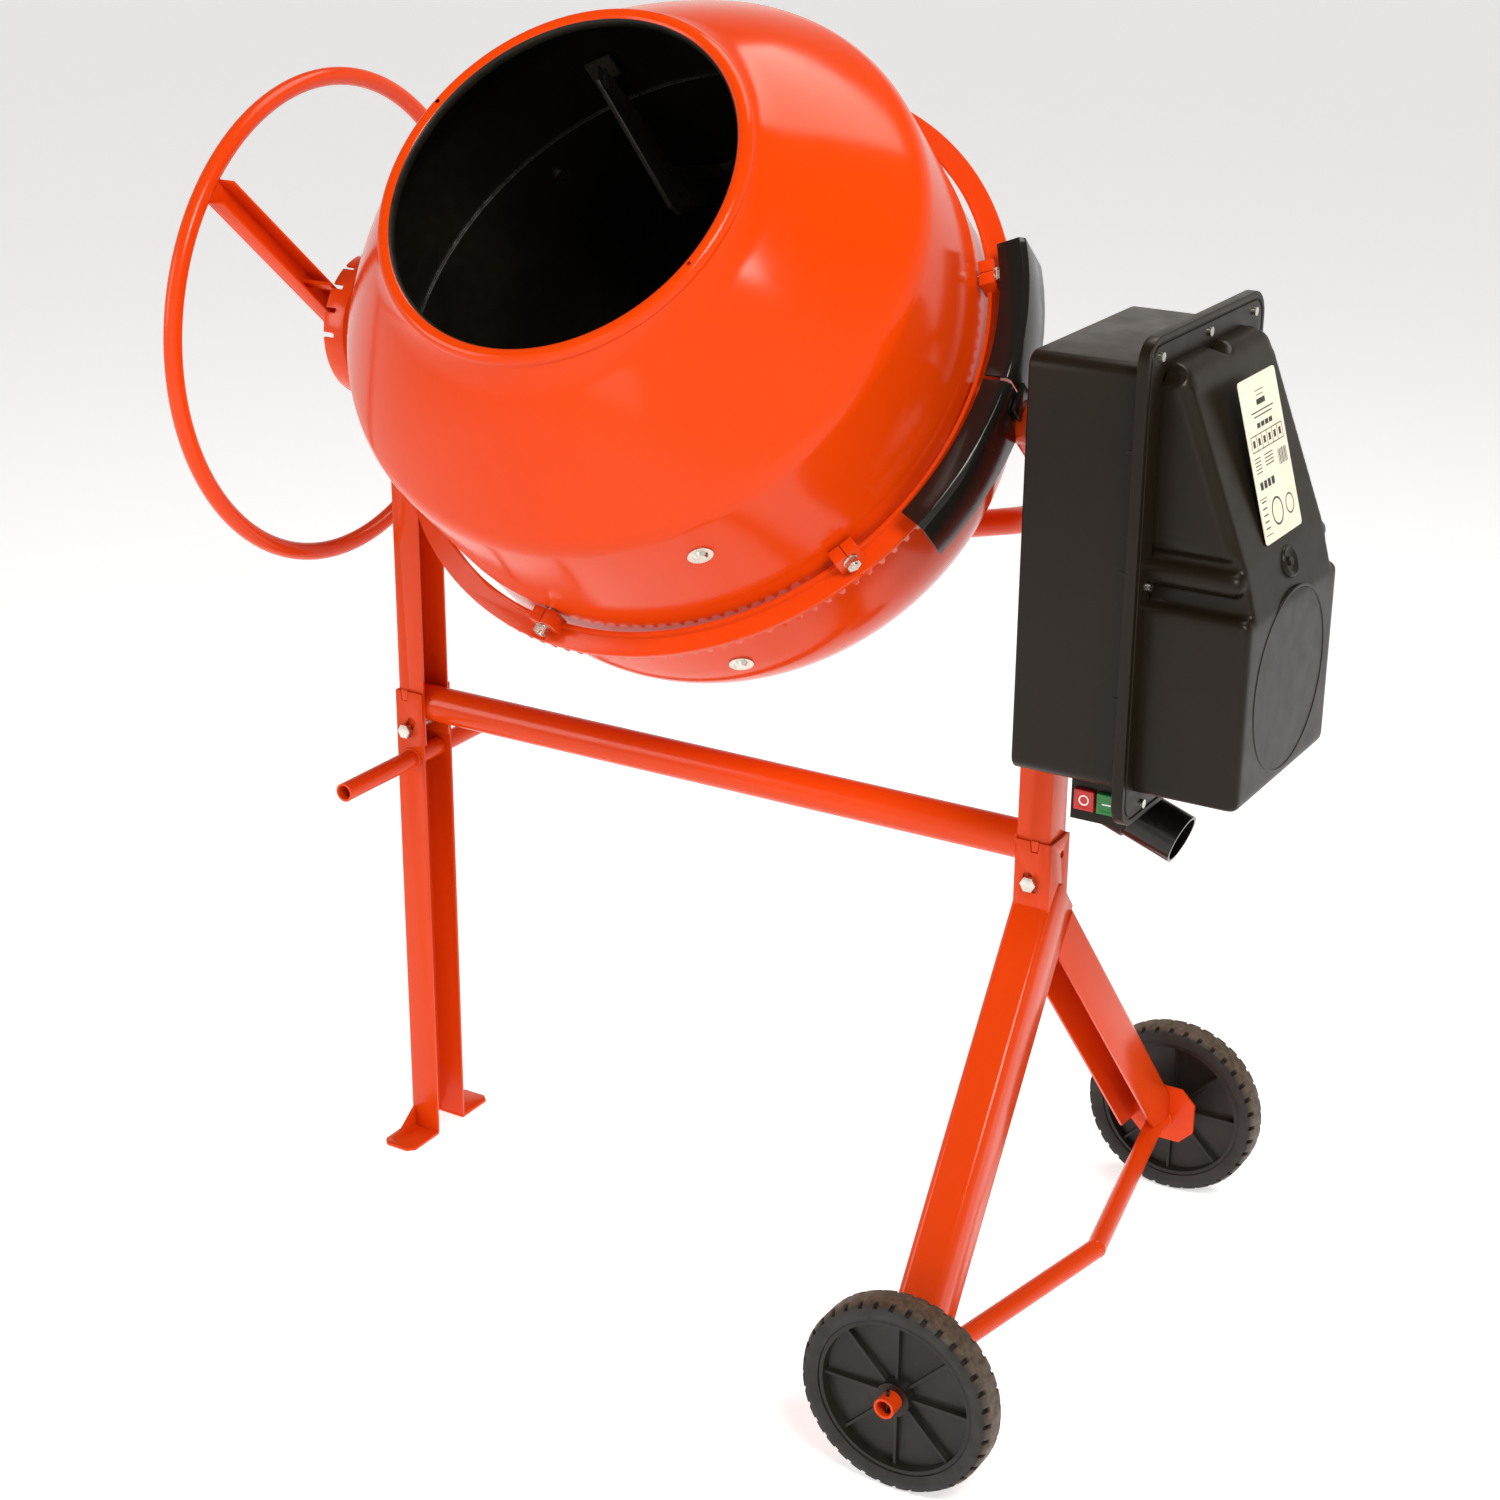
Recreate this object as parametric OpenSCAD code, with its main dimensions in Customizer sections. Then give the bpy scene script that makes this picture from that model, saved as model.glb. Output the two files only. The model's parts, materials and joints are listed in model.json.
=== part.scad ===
// Electric concrete mixer with a tilting drum, a ring gear drive and two wheels.
// Lengths in millimetres, +Z up. The origin is on the ground, at the centre of the bounding box.
// Modules draw in the machine frame, whose x = 0 is the drum's centre plane and whose y = 0
// holds the tilt axis. placed() moves that frame to the origin above.

/* [Overall] */
// Height of the tilt axis above the ground
tilt_h = 958; // [940:1:1150]
// Angle of the drum's axis from vertical
drum_tilt = 48.3; // [40:0.1:56]
// Height of the crossbar's axis
crossbar_h = 536; // [500:1:545]

/* [Drum] */
// Outer radius of the drum's cylindrical band
drum_r = 300; // [250:1:360]
// Sheet thickness of both drum halves
drum_wall = 2; // [1.5:0.1:3]
// Height of the mouth's plane above the tilt axis, along the drum's axis
mouth_h = 348; // [320:1:352]
// Outer radius of the mouth
mouth_r = 187; // [150:1:190]
// Radius of the rolled bead round the mouth
bead_r = 8; // [5:0.5:10]
// Height where the upper half's lower edge lies over the bowl
seam_h = 66; // [62:1:75]
// Length that the two drum halves overlap
seam_lap = 24; // [15:1:40]
// Height of the shoulder between band and cone
shoulder_h = 188; // [170:1:215]
// Radius of the shoulder's bend
shoulder_r = 46; // [20:1:60]
// Depth below the tilt axis where the bowl starts to curve in
bowl_side = 62; // [40:1:90]
// Depth of the bowl's bottom below the tilt axis
bowl_depth = 262; // [240:1:275]
// Radius of the bowl's flat bottom
bowl_flat_r = 96; // [70:1:120]

/* [Gear drive] */
// Teeth on the whole ring, a multiple of 12
ring_teeth = 132; // [120:12:144]
// Teeth on the pinion, an even number
pinion_teeth = 12; // [12:2:14]
// Gap between the drum and the ring
ring_gap = 4; // [3:0.5:8]
// Radial width of the ring gear
ring_w = 22; // [18:1:28]
// Thickness of the ring above its teeth
ring_base = 5; // [4:0.5:8]
// Radius of the drive shaft
shaft_r = 8; // [7:0.5:9]
// Radius of the large belt pulley
pulley_r = 86; // [70:1:90]
// Radius of the motor's belt pulley
motor_pulley_r = 10; // [9:0.5:14]
// Width of the belt
belt_w = 14; // [10:1:18]
// Distance of the motor's axis below the tilt axis
motor_drop = 202; // [190:1:215]
// Radius of the motor's casing
motor_r = 62; // [50:1:70]

/* [Yoke] */
// Radius of the yoke's tube
yoke_r = 14; // [12:0.5:15]
// Radius of the bends in the yoke's tube
yoke_bend = 150; // [140:1:160]
// Radius of the left trunnion shaft
trunnion_r = 12.5; // [11:0.5:15]
// Outer radius of the hollow right trunnion
hollow_r = 16; // [15:0.5:17]
// Radius of the spindle that carries the drum
spindle_r = 12.5; // [11:0.5:15]

/* [Stand] */
// Width of the left leg's channel across its flanges
leg_w = 52; // [50:1:60]
// Depth of the left leg's channel
leg_d = 36; // [32:1:45]
// Sheet thickness of the legs
leg_t = 3; // [2.5:0.1:4]
// Outer radius of the crossbar
crossbar_r = 20; // [16:0.5:20]
// Width of the right upper post
post_w = 36; // [32:1:40]
// Wall of the tubes and posts
tube_wall = 2.5; // [2:0.1:3]
// Length of overlap between upper and lower legs below the notch
leg_lap = 62; // [55:1:70]
// Depth of the wheel legs' flanges
wheel_leg_d = 52; // [45:1:60]
// Radius of the lifting handle's bar
handle_r = 10.5; // [9:0.5:12]
// Length of the lifting handle's bar
handle_l = 292; // [240:1:320]
// Clearance between nested sheet parts
fit_gap = 0.3; // [0.2:0.1:0.5]
// Radius of the frame bolts
bolt_r = 5; // [4:0.5:6]

/* [Wheels] */
// Diameter of the wheels over the tread
wheel_d = 200; // [160:1:250]
// Width of the tyre
tyre_w = 36; // [28:1:40]
// Distance between the wheels' middle planes
track = 660; // [600:1:680]
// Axle position towards the motor from the drum's centre plane
axle_x = 418; // [400:1:440]
// Radius of the axle tube
axle_r = 10.5; // [9:0.5:12]
// Reach of the axle's middle bend beyond its ends
axle_bow = 52; // [30:1:70]
// Running clearance between a shaft and its bore, on the radius
run_gap = 0.05; // [0.02:0.01:0.09]

/* [Handwheel] */
// Outer radius of the handwheel
handwheel_r = 265; // [220:1:300]
// Radius of the handwheel's tube
handwheel_tube_r = 9.5; // [8:0.5:12]
// Travel of the handwheel between free and locked
lock_travel = 11; // [9:1:12]
// Radius of the locking disc
disc_r = 76; // [65:1:85]
// Angle between the locking slots
slot_pitch = 20; // [20:5:30]

/* [Motor housing] */
// Width of the housing box
box_w = 236; // [210:1:260]
// Depth of the housing box
box_d = 111; // [105:1:130]
// Height of the housing box
box_h = 398; // [385:1:420]
// Height of the housing's top above the tilt axis
box_top = 98; // [96:1:110]
// Width of the rim round the housing
rim_w = 20; // [14:1:26]
// Thickness of the rim
rim_t = 11; // [8:1:14]
// Depth of the cover at its foot
cover_d = 101; // [90:1:120]
// Wall of the plastic parts
shell_t = 3; // [2.5:0.1:4]

/* [Hidden] */
$fn = 64;
ORANGE = [0.90, 0.22, 0.03];
RED_ORANGE = [0.80, 0.17, 0.04];
BLACK = [0.07, 0.06, 0.05];
ZINC = [0.75, 0.74, 0.70];

// Ring gear: the pitch radius is at the middle of the teeth, and rolling fixes the pinion's.
ring_in = drum_r + ring_gap;
ring_out = ring_in + ring_w;
pitch_r = ring_in + ring_w / 2 - 1;
pinion_pitch_r = pitch_r * pinion_teeth / ring_teeth;
pinion_add = 2.4;
tooth_tip = 4;
tooth_clear = 0.5;
ring_root_h = pinion_pitch_r + pinion_add + tooth_clear;
ring_top_h = ring_root_h + ring_base;
tooth_step = 360 / ring_teeth;
pitch_l = 2 * PI * pitch_r / ring_teeth;
flank = tan(20);
segments = 6;
// The joints between segments lie in tooth spaces.
joint_0 = -13.5 * tooth_step;
lug_bolt_h = ring_top_h + 11;
lug_bolt_r = 4;

// Widths along X, each from what it has to clear.
arm_x = ring_out + 7;
arm_t = 8;
post_x = arm_x + arm_t + 26.5;
post_right = post_x + post_w;
leg_x = arm_x + arm_t + 55;
upper_leg_x = leg_x - leg_t - fit_gap;
box_x = post_right;
rim_x = box_x + box_d;
cover_x = rim_x + rim_t + cover_d;
hub_x = leg_x + 36;
handwheel_x = leg_x + 83;

// Heights
box_top_h = tilt_h + box_top;
box_low_h = box_top_h - box_h;
motor_h = tilt_h - motor_drop;
lap_top_h = crossbar_h + 18;
lap_low_h = lap_top_h - leg_lap;
post_low_h = lap_top_h - 9 - 138;
wheel_r = wheel_d / 2;
axle_end = track / 2 + tyre_w / 2 - 4 + 20;
bracket_y = track / 2 - 38;
bearing_r = 30;

// Middle of the bounding box in the machine frame
mouth_reach = (mouth_h - bead_r) * sin(drum_tilt) + (mouth_r - bead_r) * cos(drum_tilt) + bead_r;
mid_x = (cover_x - handwheel_x - handwheel_tube_r) / 2;
mid_y = (axle_end - mouth_reach) / 2;

gear_names = [for (i = [1:segments]) str("gear_segment_", i)];

// ---- placing ----
module placed() translate([-mid_x, -mid_y, 0]) children();
module tilting() placed() translate([0, 0, tilt_h]) rotate([drum_tilt, 0, 0]) children();
module along_x(x) translate([x, 0, 0]) rotate([0, 90, 0]) children();
module at_tilt_axis(x) placed() translate([0, 0, tilt_h]) along_x(x) children();

// ---- shared shapes ----
module tube_x(r, wall, x0, x1) {
    along_x(x0) difference() {
        cylinder(r = r, h = x1 - x0);
        translate([0, 0, -1]) cylinder(r = r - wall, h = x1 - x0 + 2);
    }
}
module ring(r, hole, t) {
    difference() {
        cylinder(r = r, h = t);
        translate([0, 0, -1]) cylinder(r = hole, h = t + 2);
    }
}
module hex_bolt(r, grip, tail) {
    // The head is below z = 0, the nut above the grip.
    head = 0.65 * r * 2;
    translate([0, 0, -head]) cylinder(r = 1.7 * r, h = head, $fn = 6);
    translate([0, 0, -0.5]) cylinder(r = r, h = grip + tail + 0.5);
    translate([0, 0, grip]) cylinder(r = 1.7 * r, h = 0.8 * r * 2, $fn = 6);
}
// A U channel open towards +X: its web is at x = 0 and it is w wide in Y.
module channel_2d(w, d, t) {
    difference() {
        translate([0, -w / 2]) square([d, w]);
        translate([t, -w / 2 + t]) square([d, w - 2 * t]);
    }
}
// Outline of a sheet that follows points p, t thick towards the axis.
function unit(v) = v / norm(v);
function side(p, i) = let(
        a = p[max(i - 1, 0)], b = p[min(i + 1, len(p) - 1)], d = unit(b - a))
    [-d[1], d[0]];
function sheet(p, t) = concat(p, [for (i = [len(p) - 1:-1:0]) p[i] + t * side(p, i)]);
function arc(c, r, a0, a1, n) = [for (i = [0:n]) let(a = a0 + (a1 - a0) * i / n)
    c + r * [cos(a), sin(a)]];

// ---- left leg ----
lower_web_x = -leg_x;
upper_leg_w = leg_w - 2 * leg_t - 2 * fit_gap;
bolt_left = [-leg_x + 14, lap_low_h + 16];
bolt_right = [post_x + post_w / 2, lap_top_h - 53];
foot_t = 4;
notch_w = 14;
notch_d = 11;

module notch_shape(grow) {
    polygon([[-notch_w / 2 + 2 - grow, 1], [notch_w / 2 - 2 + grow, 1],
             [notch_w / 4 + grow, -notch_d - grow], [-notch_w / 4 - grow, -notch_d - grow]]);
}
module slot_shape(r, l) {
    for (s = [-1, 1]) translate([0, s * l / 2]) circle(r = r);
    translate([-r, -l / 2]) square([2 * r, l]);
}
// Draws a flat shape of the XZ plane, t thick, from y = y0 towards +Y.
module plate_y(y0, t) translate([0, y0 + t, 0]) rotate([90, 0, 0]) linear_extrude(t) children();

module left_lower_leg() color(RED_ORANGE) placed() difference() {
    translate([lower_web_x, 0, foot_t]) linear_extrude(lap_top_h - foot_t)
        channel_2d(leg_w, leg_d, leg_t);
    plate_y(-leg_w / 2 - 1, leg_t + 2) {
        translate([bolt_left[0] - 2, lap_top_h]) notch_shape(fit_gap);
        translate(bolt_left) rotate(-32) translate([0, 6]) slot_shape(bolt_r + 0.5, 12);
    }
    translate([bolt_left[0], leg_w / 2 + 1, bolt_left[1]]) rotate([90, 0, 0])
        cylinder(r = bolt_r + 0.5, h = leg_t + 2);
    translate([handle_at[0], 0, handle_at[1]]) rotate([90, 0, 0])
        cylinder(r = handle_r, h = leg_w + 2, center = true);
}

module foot_plates() color(RED_ORANGE) placed() {
    reach = 54;
    for (s = [-1, 1]) {
        difference() {
            translate([-leg_x - 8, s > 0 ? leg_w / 2 - leg_t : -leg_w / 2 + leg_t - reach, 0])
                cube([leg_d + 8, reach, foot_t]);
            for (c = [0, 1]) translate([-leg_x - 8 + c * (leg_d + 8), s * (leg_w / 2 - leg_t + reach), 0])
                rotate([0, 0, 45]) cube([11, 11, 3 * foot_t], center = true);
        }
        // Gusset between the flange and the plate
        translate([-leg_x, 0, 0]) rotate([90, 0, 90]) linear_extrude(foot_t)
            polygon([[s * (leg_w / 2), foot_t], [s * (leg_w / 2 + 34), foot_t],
                     [s * (leg_w / 2), foot_t + 26]]);
    }
}

handle_at = [-leg_x + 19, lap_low_h - 17];
module lifting_handle() color(RED_ORANGE) placed()
    translate([handle_at[0], handle_l / 2, handle_at[1]]) rotate([90, 0, 0])
        ring(handle_r, handle_r - tube_wall, handle_l);

left_top_h = tilt_h + 34;
module at_disc_bolts(x) translate([0, 0, tilt_h])
    for (a = [45:90:315]) rotate([a, 0, 0]) translate([0, 0, 22]) along_x(x) children();
module left_upper_leg() color(RED_ORANGE) placed() {
    difference() {
        translate([-upper_leg_x, 0, lap_low_h])
            linear_extrude(left_top_h - lap_low_h) channel_2d(upper_leg_w, leg_d - leg_t, tube_wall);
        translate([bolt_left[0], leg_w, bolt_left[1]]) rotate([90, 0, 0])
            cylinder(r = bolt_r + 0.25, h = 2 * leg_w);
        translate([0, 0, tilt_h]) along_x(-leg_x) cylinder(r = trunnion_r + 4, h = 10);
        at_disc_bolts(-leg_x) cylinder(r = 3.2, h = 10);
    }
    // Locating tab in the lower leg's notch
    plate_y(-leg_w / 2 + 0.4, leg_t - 0.4 + fit_gap)
        translate([bolt_left[0] - 2, lap_top_h]) notch_shape(-fit_gap);
}

module crossbar() color(RED_ORANGE) placed() translate([0, 0, crossbar_h])
    tube_x(crossbar_r, tube_wall, -leg_x + leg_t + fit_gap + tube_wall, post_x);

// ---- right post and wheel legs ----
module right_upper_post() color(RED_ORANGE) placed() {
    difference() {
        translate([post_x, -post_w / 2, lap_low_h - 22])
            cube([post_w, post_w, tilt_h - bearing_r - lap_low_h + 22]);
        translate([post_x + tube_wall, -post_w / 2 + tube_wall, 0])
            cube([post_w - 2 * tube_wall, post_w - 2 * tube_wall, 2 * tilt_h]);
        translate([bolt_right[0], post_w, bolt_right[1]]) rotate([90, 0, 0])
            cylinder(r = bolt_r + 0.25, h = 2 * post_w);
    }
    plate_y(-post_w / 2 - leg_t + 0.2, leg_t - 0.2)
        translate([bolt_right[0] + 3, lap_top_h - 9]) notch_shape(-fit_gap);
}

sleeve_w = post_w + 2 * leg_t + 2 * fit_gap;
sleeve_x = post_right + fit_gap + leg_t;
sleeve_top_h = lap_top_h - 9;
module right_lower_post() color(RED_ORANGE) placed() difference() {
    translate([sleeve_x, 0, post_low_h]) mirror([1, 0, 0])
        linear_extrude(sleeve_top_h - post_low_h) channel_2d(sleeve_w, post_w + leg_t, leg_t);
    plate_y(-sleeve_w / 2 - 1, leg_t + 2) {
        translate([bolt_right[0] + 3, sleeve_top_h]) notch_shape(fit_gap);
        translate(bolt_right) rotate(30) slot_shape(bolt_r + 0.5, 12);
    }
    translate([bolt_right[0], sleeve_w / 2 + 1, bolt_right[1]]) rotate([90, 0, 0])
        cylinder(r = bolt_r + 0.5, h = leg_t + 2);
    translate([0, 5, sleeve_top_h - 18]) along_x(post_right) cylinder(r = 4, h = 20);
}

// Each wheel leg is a channel from the lower post to its axle bracket. Its web faces outwards.
leg_top = [sleeve_w / 2, sleeve_top_h - 69];
leg_foot = [bracket_y, wheel_r + 40];
lean = atan2(leg_foot[0] - leg_top[0], leg_top[1] - leg_foot[1]);
leg_len = norm(leg_foot - leg_top);
wheel_leg_w = post_w + 3 * leg_t + 2 * fit_gap;
wheel_leg_x = sleeve_x + leg_t - wheel_leg_w / 2;
x_lean = 2.2;
bend_r = 9;

module rounded_channel(w, d, t, r) {
    difference() {
        union() {
            translate([r, -w / 2]) square([d - r, w]);
            translate([0, -w / 2 + r]) square([r + 0.01, w - 2 * r]);
            for (s = [-1, 1]) translate([r, s * (w / 2 - r)]) circle(r = r);
        }
        translate([r, -w / 2 + t]) square([d, w - 2 * t]);
        translate([t, -w / 2 + r]) square([d, w - 2 * r]);
        for (s = [-1, 1]) translate([r, s * (w / 2 - r)]) circle(r = r - t);
    }
}
// Drawn for the +Y side: the leg's own frame has z along the leg, upwards, and the web at x = 0.
module leg_frame() {
    translate([wheel_leg_x, leg_top[0], leg_top[1]]) rotate([lean, 0, 0]) rotate([0, -x_lean, 0])
        rotate([0, 0, -90]) children();
}
module wheel_leg_blank() difference() {
    leg_frame() translate([0, 0, -leg_len - 60])
        linear_extrude(leg_len + 120) rounded_channel(wheel_leg_w, wheel_leg_d, leg_t, bend_r);
    // Ends at the bracket, above the axle's lower side
    translate([0, bracket_y, 0]) cube([600, 200, 900]);
    translate([0, -100, -100]) cube([600, 500, 100 + wheel_r - 5]);
    // Room for the axle and the lower post
    translate([axle_x, 0, wheel_r]) rotate([-90, 0, 0]) cylinder(r = axle_r + 0.5, h = 600);
    axle_arm(axle_r + 0.6);
    translate([post_x - 0.01, -sleeve_w / 2, post_low_h])
        cube([sleeve_x - post_x + 0.01, sleeve_w, 300]);
}
// Everything outside the plane of the far leg's web, and the near leg's inner edges
module outside_web() leg_frame() translate([-200, -150, -300]) cube([200, 300, 800]);
module under_flanges() leg_frame() translate([wheel_leg_d, -150, -700]) cube([600, 300, 1400]);

module near_wheel_leg() color(ORANGE) placed() difference() {
    mirror([0, 1, 0]) wheel_leg_blank();
    outside_web();
    translate([300, -200, sleeve_top_h - 50]) cube([300, 400, 200]);
}
module far_wheel_leg() color(ORANGE) placed() intersection() {
    wheel_leg_blank();
    mirror([0, 1, 0]) under_flanges();
    translate([300, -100, 0]) cube([300, 700, sleeve_top_h - 50]);
}

bracket_t = 4;
module bracket_2d() {
    w = 76;
    h = 62;
    c = 16;
    difference() {
        polygon([[-w / 2, -h / 2 + c + 6], [-w / 2 + c, -h / 2 + 6], [w / 2 - c, -h / 2 + 6],
                 [w / 2, -h / 2 + c + 6], [w / 2, h / 2 - c + 10], [w / 2 - c, h / 2 + 10],
                 [-w / 2 + c, h / 2 + 10], [-w / 2, h / 2 - c + 10]]);
        circle(r = axle_r);
    }
}
module axle_brackets() color(ORANGE) placed()
    for (y = [-bracket_y - bracket_t, bracket_y])
        plate_y(y, bracket_t) translate([axle_x, wheel_r]) bracket_2d();

axle_bend_y = bracket_y - 22;
module axle_arm(r) {
    half = [axle_bow, -axle_bend_y, 0];
    translate([axle_x + axle_bow, 0, wheel_r]) rotate([0, 0, atan2(axle_bow, axle_bend_y)])
        rotate([-90, 0, 0]) cylinder(r = r, h = norm(half));
}
module axle() color(ORANGE) placed() difference() {
    union() {
        for (s = [0, 1]) mirror([0, s, 0]) {
            axle_arm(axle_r);
            translate([axle_x, axle_bend_y, wheel_r]) rotate([-90, 0, 0])
                cylinder(r = axle_r, h = axle_end - axle_bend_y);
            translate([axle_x, axle_bend_y, wheel_r]) sphere(r = axle_r + 0.3);
        }
        translate([axle_x + axle_bow, 0, wheel_r]) sphere(r = axle_r + 0.3);
    }
    for (s = [0, 1]) mirror([0, s, 0]) {
        translate([axle_x, axle_end - 60, wheel_r]) rotate([-90, 0, 0])
            cylinder(r = axle_r - tube_wall, h = 80);
        translate([axle_x, axle_end - 8, wheel_r]) cylinder(r = 2, h = 60, center = true);
    }
}
hub_half = tyre_w / 2 - 4;
module axle_retainers() color(ZINC) placed() for (s = [0, 1]) mirror([0, s, 0]) {
    // Inner spacer, outer washer, then the cross pin
    spacer_y = bracket_y + bracket_t;
    translate([axle_x, spacer_y, wheel_r]) rotate([-90, 0, 0])
        ring(axle_r + 5, axle_r + 0.2, track / 2 - hub_half - 0.5 - spacer_y);
    translate([axle_x, track / 2 + hub_half + 0.5, wheel_r]) rotate([-90, 0, 0])
        ring(axle_r + 7, axle_r + 0.2, 2.5);
    translate([axle_x, axle_end - 8, wheel_r]) cylinder(r = 1.95, h = 2 * axle_r + 10, center = true);
}

module frame_bolts() color(ZINC) placed() {
    translate([bolt_left[0], -leg_w / 2, bolt_left[1]]) rotate([-90, 0, 0])
        hex_bolt(bolt_r, leg_w, 6);
    translate([bolt_right[0], -sleeve_w / 2, bolt_right[1]]) rotate([-90, 0, 0])
        hex_bolt(bolt_r, sleeve_w, 6);
    at_disc_bolts(-upper_leg_x - leg_t) {
        cylinder(r = 3, h = 18);
        translate([0, 0, -4]) cylinder(r = 5.5, h = 4, $fn = 6);
    }
}

// ---- bearings and locking disc ----
module left_bearing() color("dimgray") placed() translate([0, 0, tilt_h])
    difference() {
        along_x(-upper_leg_x + tube_wall) linear_extrude(26)
            square([64, upper_leg_w - 2 * tube_wall - 2 * fit_gap], center = true);
        along_x(-leg_x) cylinder(r = trunnion_r + run_gap, h = 60);
        translate([0, 0, -tilt_h]) at_disc_bolts(-leg_x) cylinder(r = 3.2, h = 20);
    }

module right_bearing() color("dimgray") placed() translate([0, 0, tilt_h]) difference() {
    union() {
        along_x(post_x) cylinder(r = bearing_r, h = post_w);
        translate([post_x, -bearing_r, -bearing_r]) cube([post_w, 2 * bearing_r, bearing_r]);
    }
    along_x(post_x - 1) cylinder(r = hollow_r + run_gap, h = post_w + 2);
}

module locking_disc() color(RED_ORANGE) placed() translate([0, 0, tilt_h]) difference() {
    // Dished plate against the leg with its rim towards the handwheel
    rotate([0, -90, 0]) rotate_extrude($fn = 96)
        polygon([[trunnion_r + 3, upper_leg_x], [54, upper_leg_x], [disc_r, upper_leg_x + 14],
                 [disc_r, hub_x], [disc_r - leg_t, hub_x], [disc_r - leg_t, upper_leg_x + 16],
                 [52.5, upper_leg_x + leg_t], [trunnion_r + 3, upper_leg_x + leg_t]]);
    for (k = [-8:2]) rotate([drum_tilt + k * slot_pitch, 0, 0])
        translate([-hub_x - 1, -2.75, disc_r - 10]) cube([lock_travel + 3, 5.5, 20]);
    translate([0, 0, -tilt_h]) at_disc_bolts(-leg_x - 10) cylinder(r = 3.2, h = 20);
}

// ---- handwheel ----
lock_gap = 2;
module handwheel() color(RED_ORANGE) placed() translate([-handwheel_x, 0, tilt_h])
    rotate([0, 90, 0]) rotate_extrude($fn = 120)
        translate([handwheel_r - handwheel_tube_r, 0]) circle(r = handwheel_tube_r, $fn = 32);

module handwheel_hub() color(RED_ORANGE) placed() translate([0, 0, tilt_h]) rotate([drum_tilt, 0, 0]) {
    // One channel bar right across, open towards the leg, with a boss on the trunnion
    bar_w = 28;
    bar_d = 22;
    bar_l = 2 * (handwheel_r - 2 * handwheel_tube_r) + 2;
    difference() {
        union() {
            translate([-handwheel_x + 2, 0, -bar_l / 2]) linear_extrude(bar_l)
                channel_2d(bar_w, bar_d, tube_wall);
            along_x(-handwheel_x + 2) cylinder(r = trunnion_r + 5, h = bar_d + 4);
        }
        along_x(-handwheel_x - 20) cylinder(r = trunnion_r + run_gap, h = 80);
        rotate([0, 90, 0]) translate([0, 0, -handwheel_x]) rotate_extrude($fn = 120)
            translate([handwheel_r - handwheel_tube_r, 0]) circle(r = handwheel_tube_r, $fn = 32);
    }
    // Tongue that enters a slot of the locking disc
    translate([-handwheel_x + 2, -2, disc_r - 8])
        cube([handwheel_x - 2 - hub_x - lock_gap, 4, 10]);
}

// ---- housing ----
module soft_rect(w, h, r) {
    // Rectangle with round corners, centred, made of exact arcs
    for (sx = [-1, 1], sy = [-1, 1]) translate([sx * (w / 2 - r), sy * (h / 2 - r)]) circle(r = r);
    square([w - 2 * r, h], center = true);
    square([w, h - 2 * r], center = true);
}
// Draws a flat shape of the YZ plane, centred at height z, from x0 towards +X.
module plate_x(x0, t, z) translate([x0, 0, z]) rotate([90, 0, 90]) linear_extrude(t) children();
box_mid_h = box_low_h + box_h / 2;
box_corner = 14;

module housing_box() color(BLACK) placed() difference() {
    plate_x(box_x, box_d, box_mid_h) soft_rect(box_w, box_h, box_corner);
    plate_x(box_x + shell_t, box_d, box_mid_h)
        soft_rect(box_w - 2 * shell_t, box_h - 2 * shell_t, box_corner - shell_t);
    translate([0, 0, tilt_h]) along_x(box_x - 1) cylinder(r = hollow_r + 6, h = 10);
}
rim_outer_w = box_w + 2 * rim_w - 4;
rim_outer_h = box_h + 2 * rim_w + 18;
rim_mid_h = box_mid_h - 2;
screw_spots = [[0.40, 0.46], [0, 0.464], [0.385, 0], [0.33, -0.47]];
module at_screws(x) for (p = screw_spots, s = [-1, 1]) if (p[0] > 0 || s > 0)
    translate([x, s * p[0] * rim_outer_w, rim_mid_h + p[1] * rim_outer_h])
        rotate([0, 90, 0]) children();
module housing_rim() color(BLACK) placed() difference() {
    plate_x(rim_x, rim_t, rim_mid_h) soft_rect(rim_outer_w, rim_outer_h, 26);
    plate_x(rim_x - 1, rim_t + 2, box_mid_h)
        soft_rect(box_w - 2 * shell_t, box_h - 2 * shell_t, box_corner - shell_t);
    at_screws(rim_x - 1) cylinder(r = 2.2, h = rim_t + 2);
}
module housing_screws() color(ZINC) placed() at_screws(rim_x + 1) {
    cylinder(r = 2.15, h = rim_t - 1);
    translate([0, 0, rim_t - 1]) cylinder(r = 4.2, h = 2.6);
}

// The cover's outline from the side, with g taken off all round
cover_foot = rim_x + rim_t;
waist_h = box_low_h + 0.52 * box_h;
module cover_side(g) polygon([
    [cover_foot - (g > 0 ? 1 : 0), box_low_h + g], [cover_x - 8 - g, box_low_h + g],
    [cover_x - g, box_low_h + 10 + g], [cover_x - g, waist_h - 20], [cover_x - 14 - g, waist_h + 16],
    [cover_x - 58 - g, box_top_h - 14 - g], [cover_x - 66 - g, box_top_h - g],
    [cover_foot - (g > 0 ? 1 : 0), box_top_h - g]]);
module cover_body(g) intersection() {
    plate_y(-box_w / 2, box_w) cover_side(g);
    plate_x(cover_foot - 1, cover_d + 5, 0) {
        translate([0, box_low_h + g]) translate([0, (waist_h - box_low_h) / 2])
            soft_rect(box_w - 10 - 2 * g, waist_h - box_low_h, 16);
        translate([0, (waist_h + box_top_h) / 2 - 20 - g / 2])
            soft_rect(box_w - 30 - 2 * g, box_top_h - waist_h + 40 - g, 18);
    }
}
module housing_cover() color(BLACK) placed() difference() {
    cover_body(0);
    cover_body(shell_t);
}
module rating_plate() color("beige") placed()
    translate([cover_x - 14, 0, waist_h + 16])
        rotate([0, -atan2(44, box_top_h - 14 - waist_h - 16), 0])
            translate([0.05, -44, 10]) cube([0.8, 88, 148]);

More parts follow.
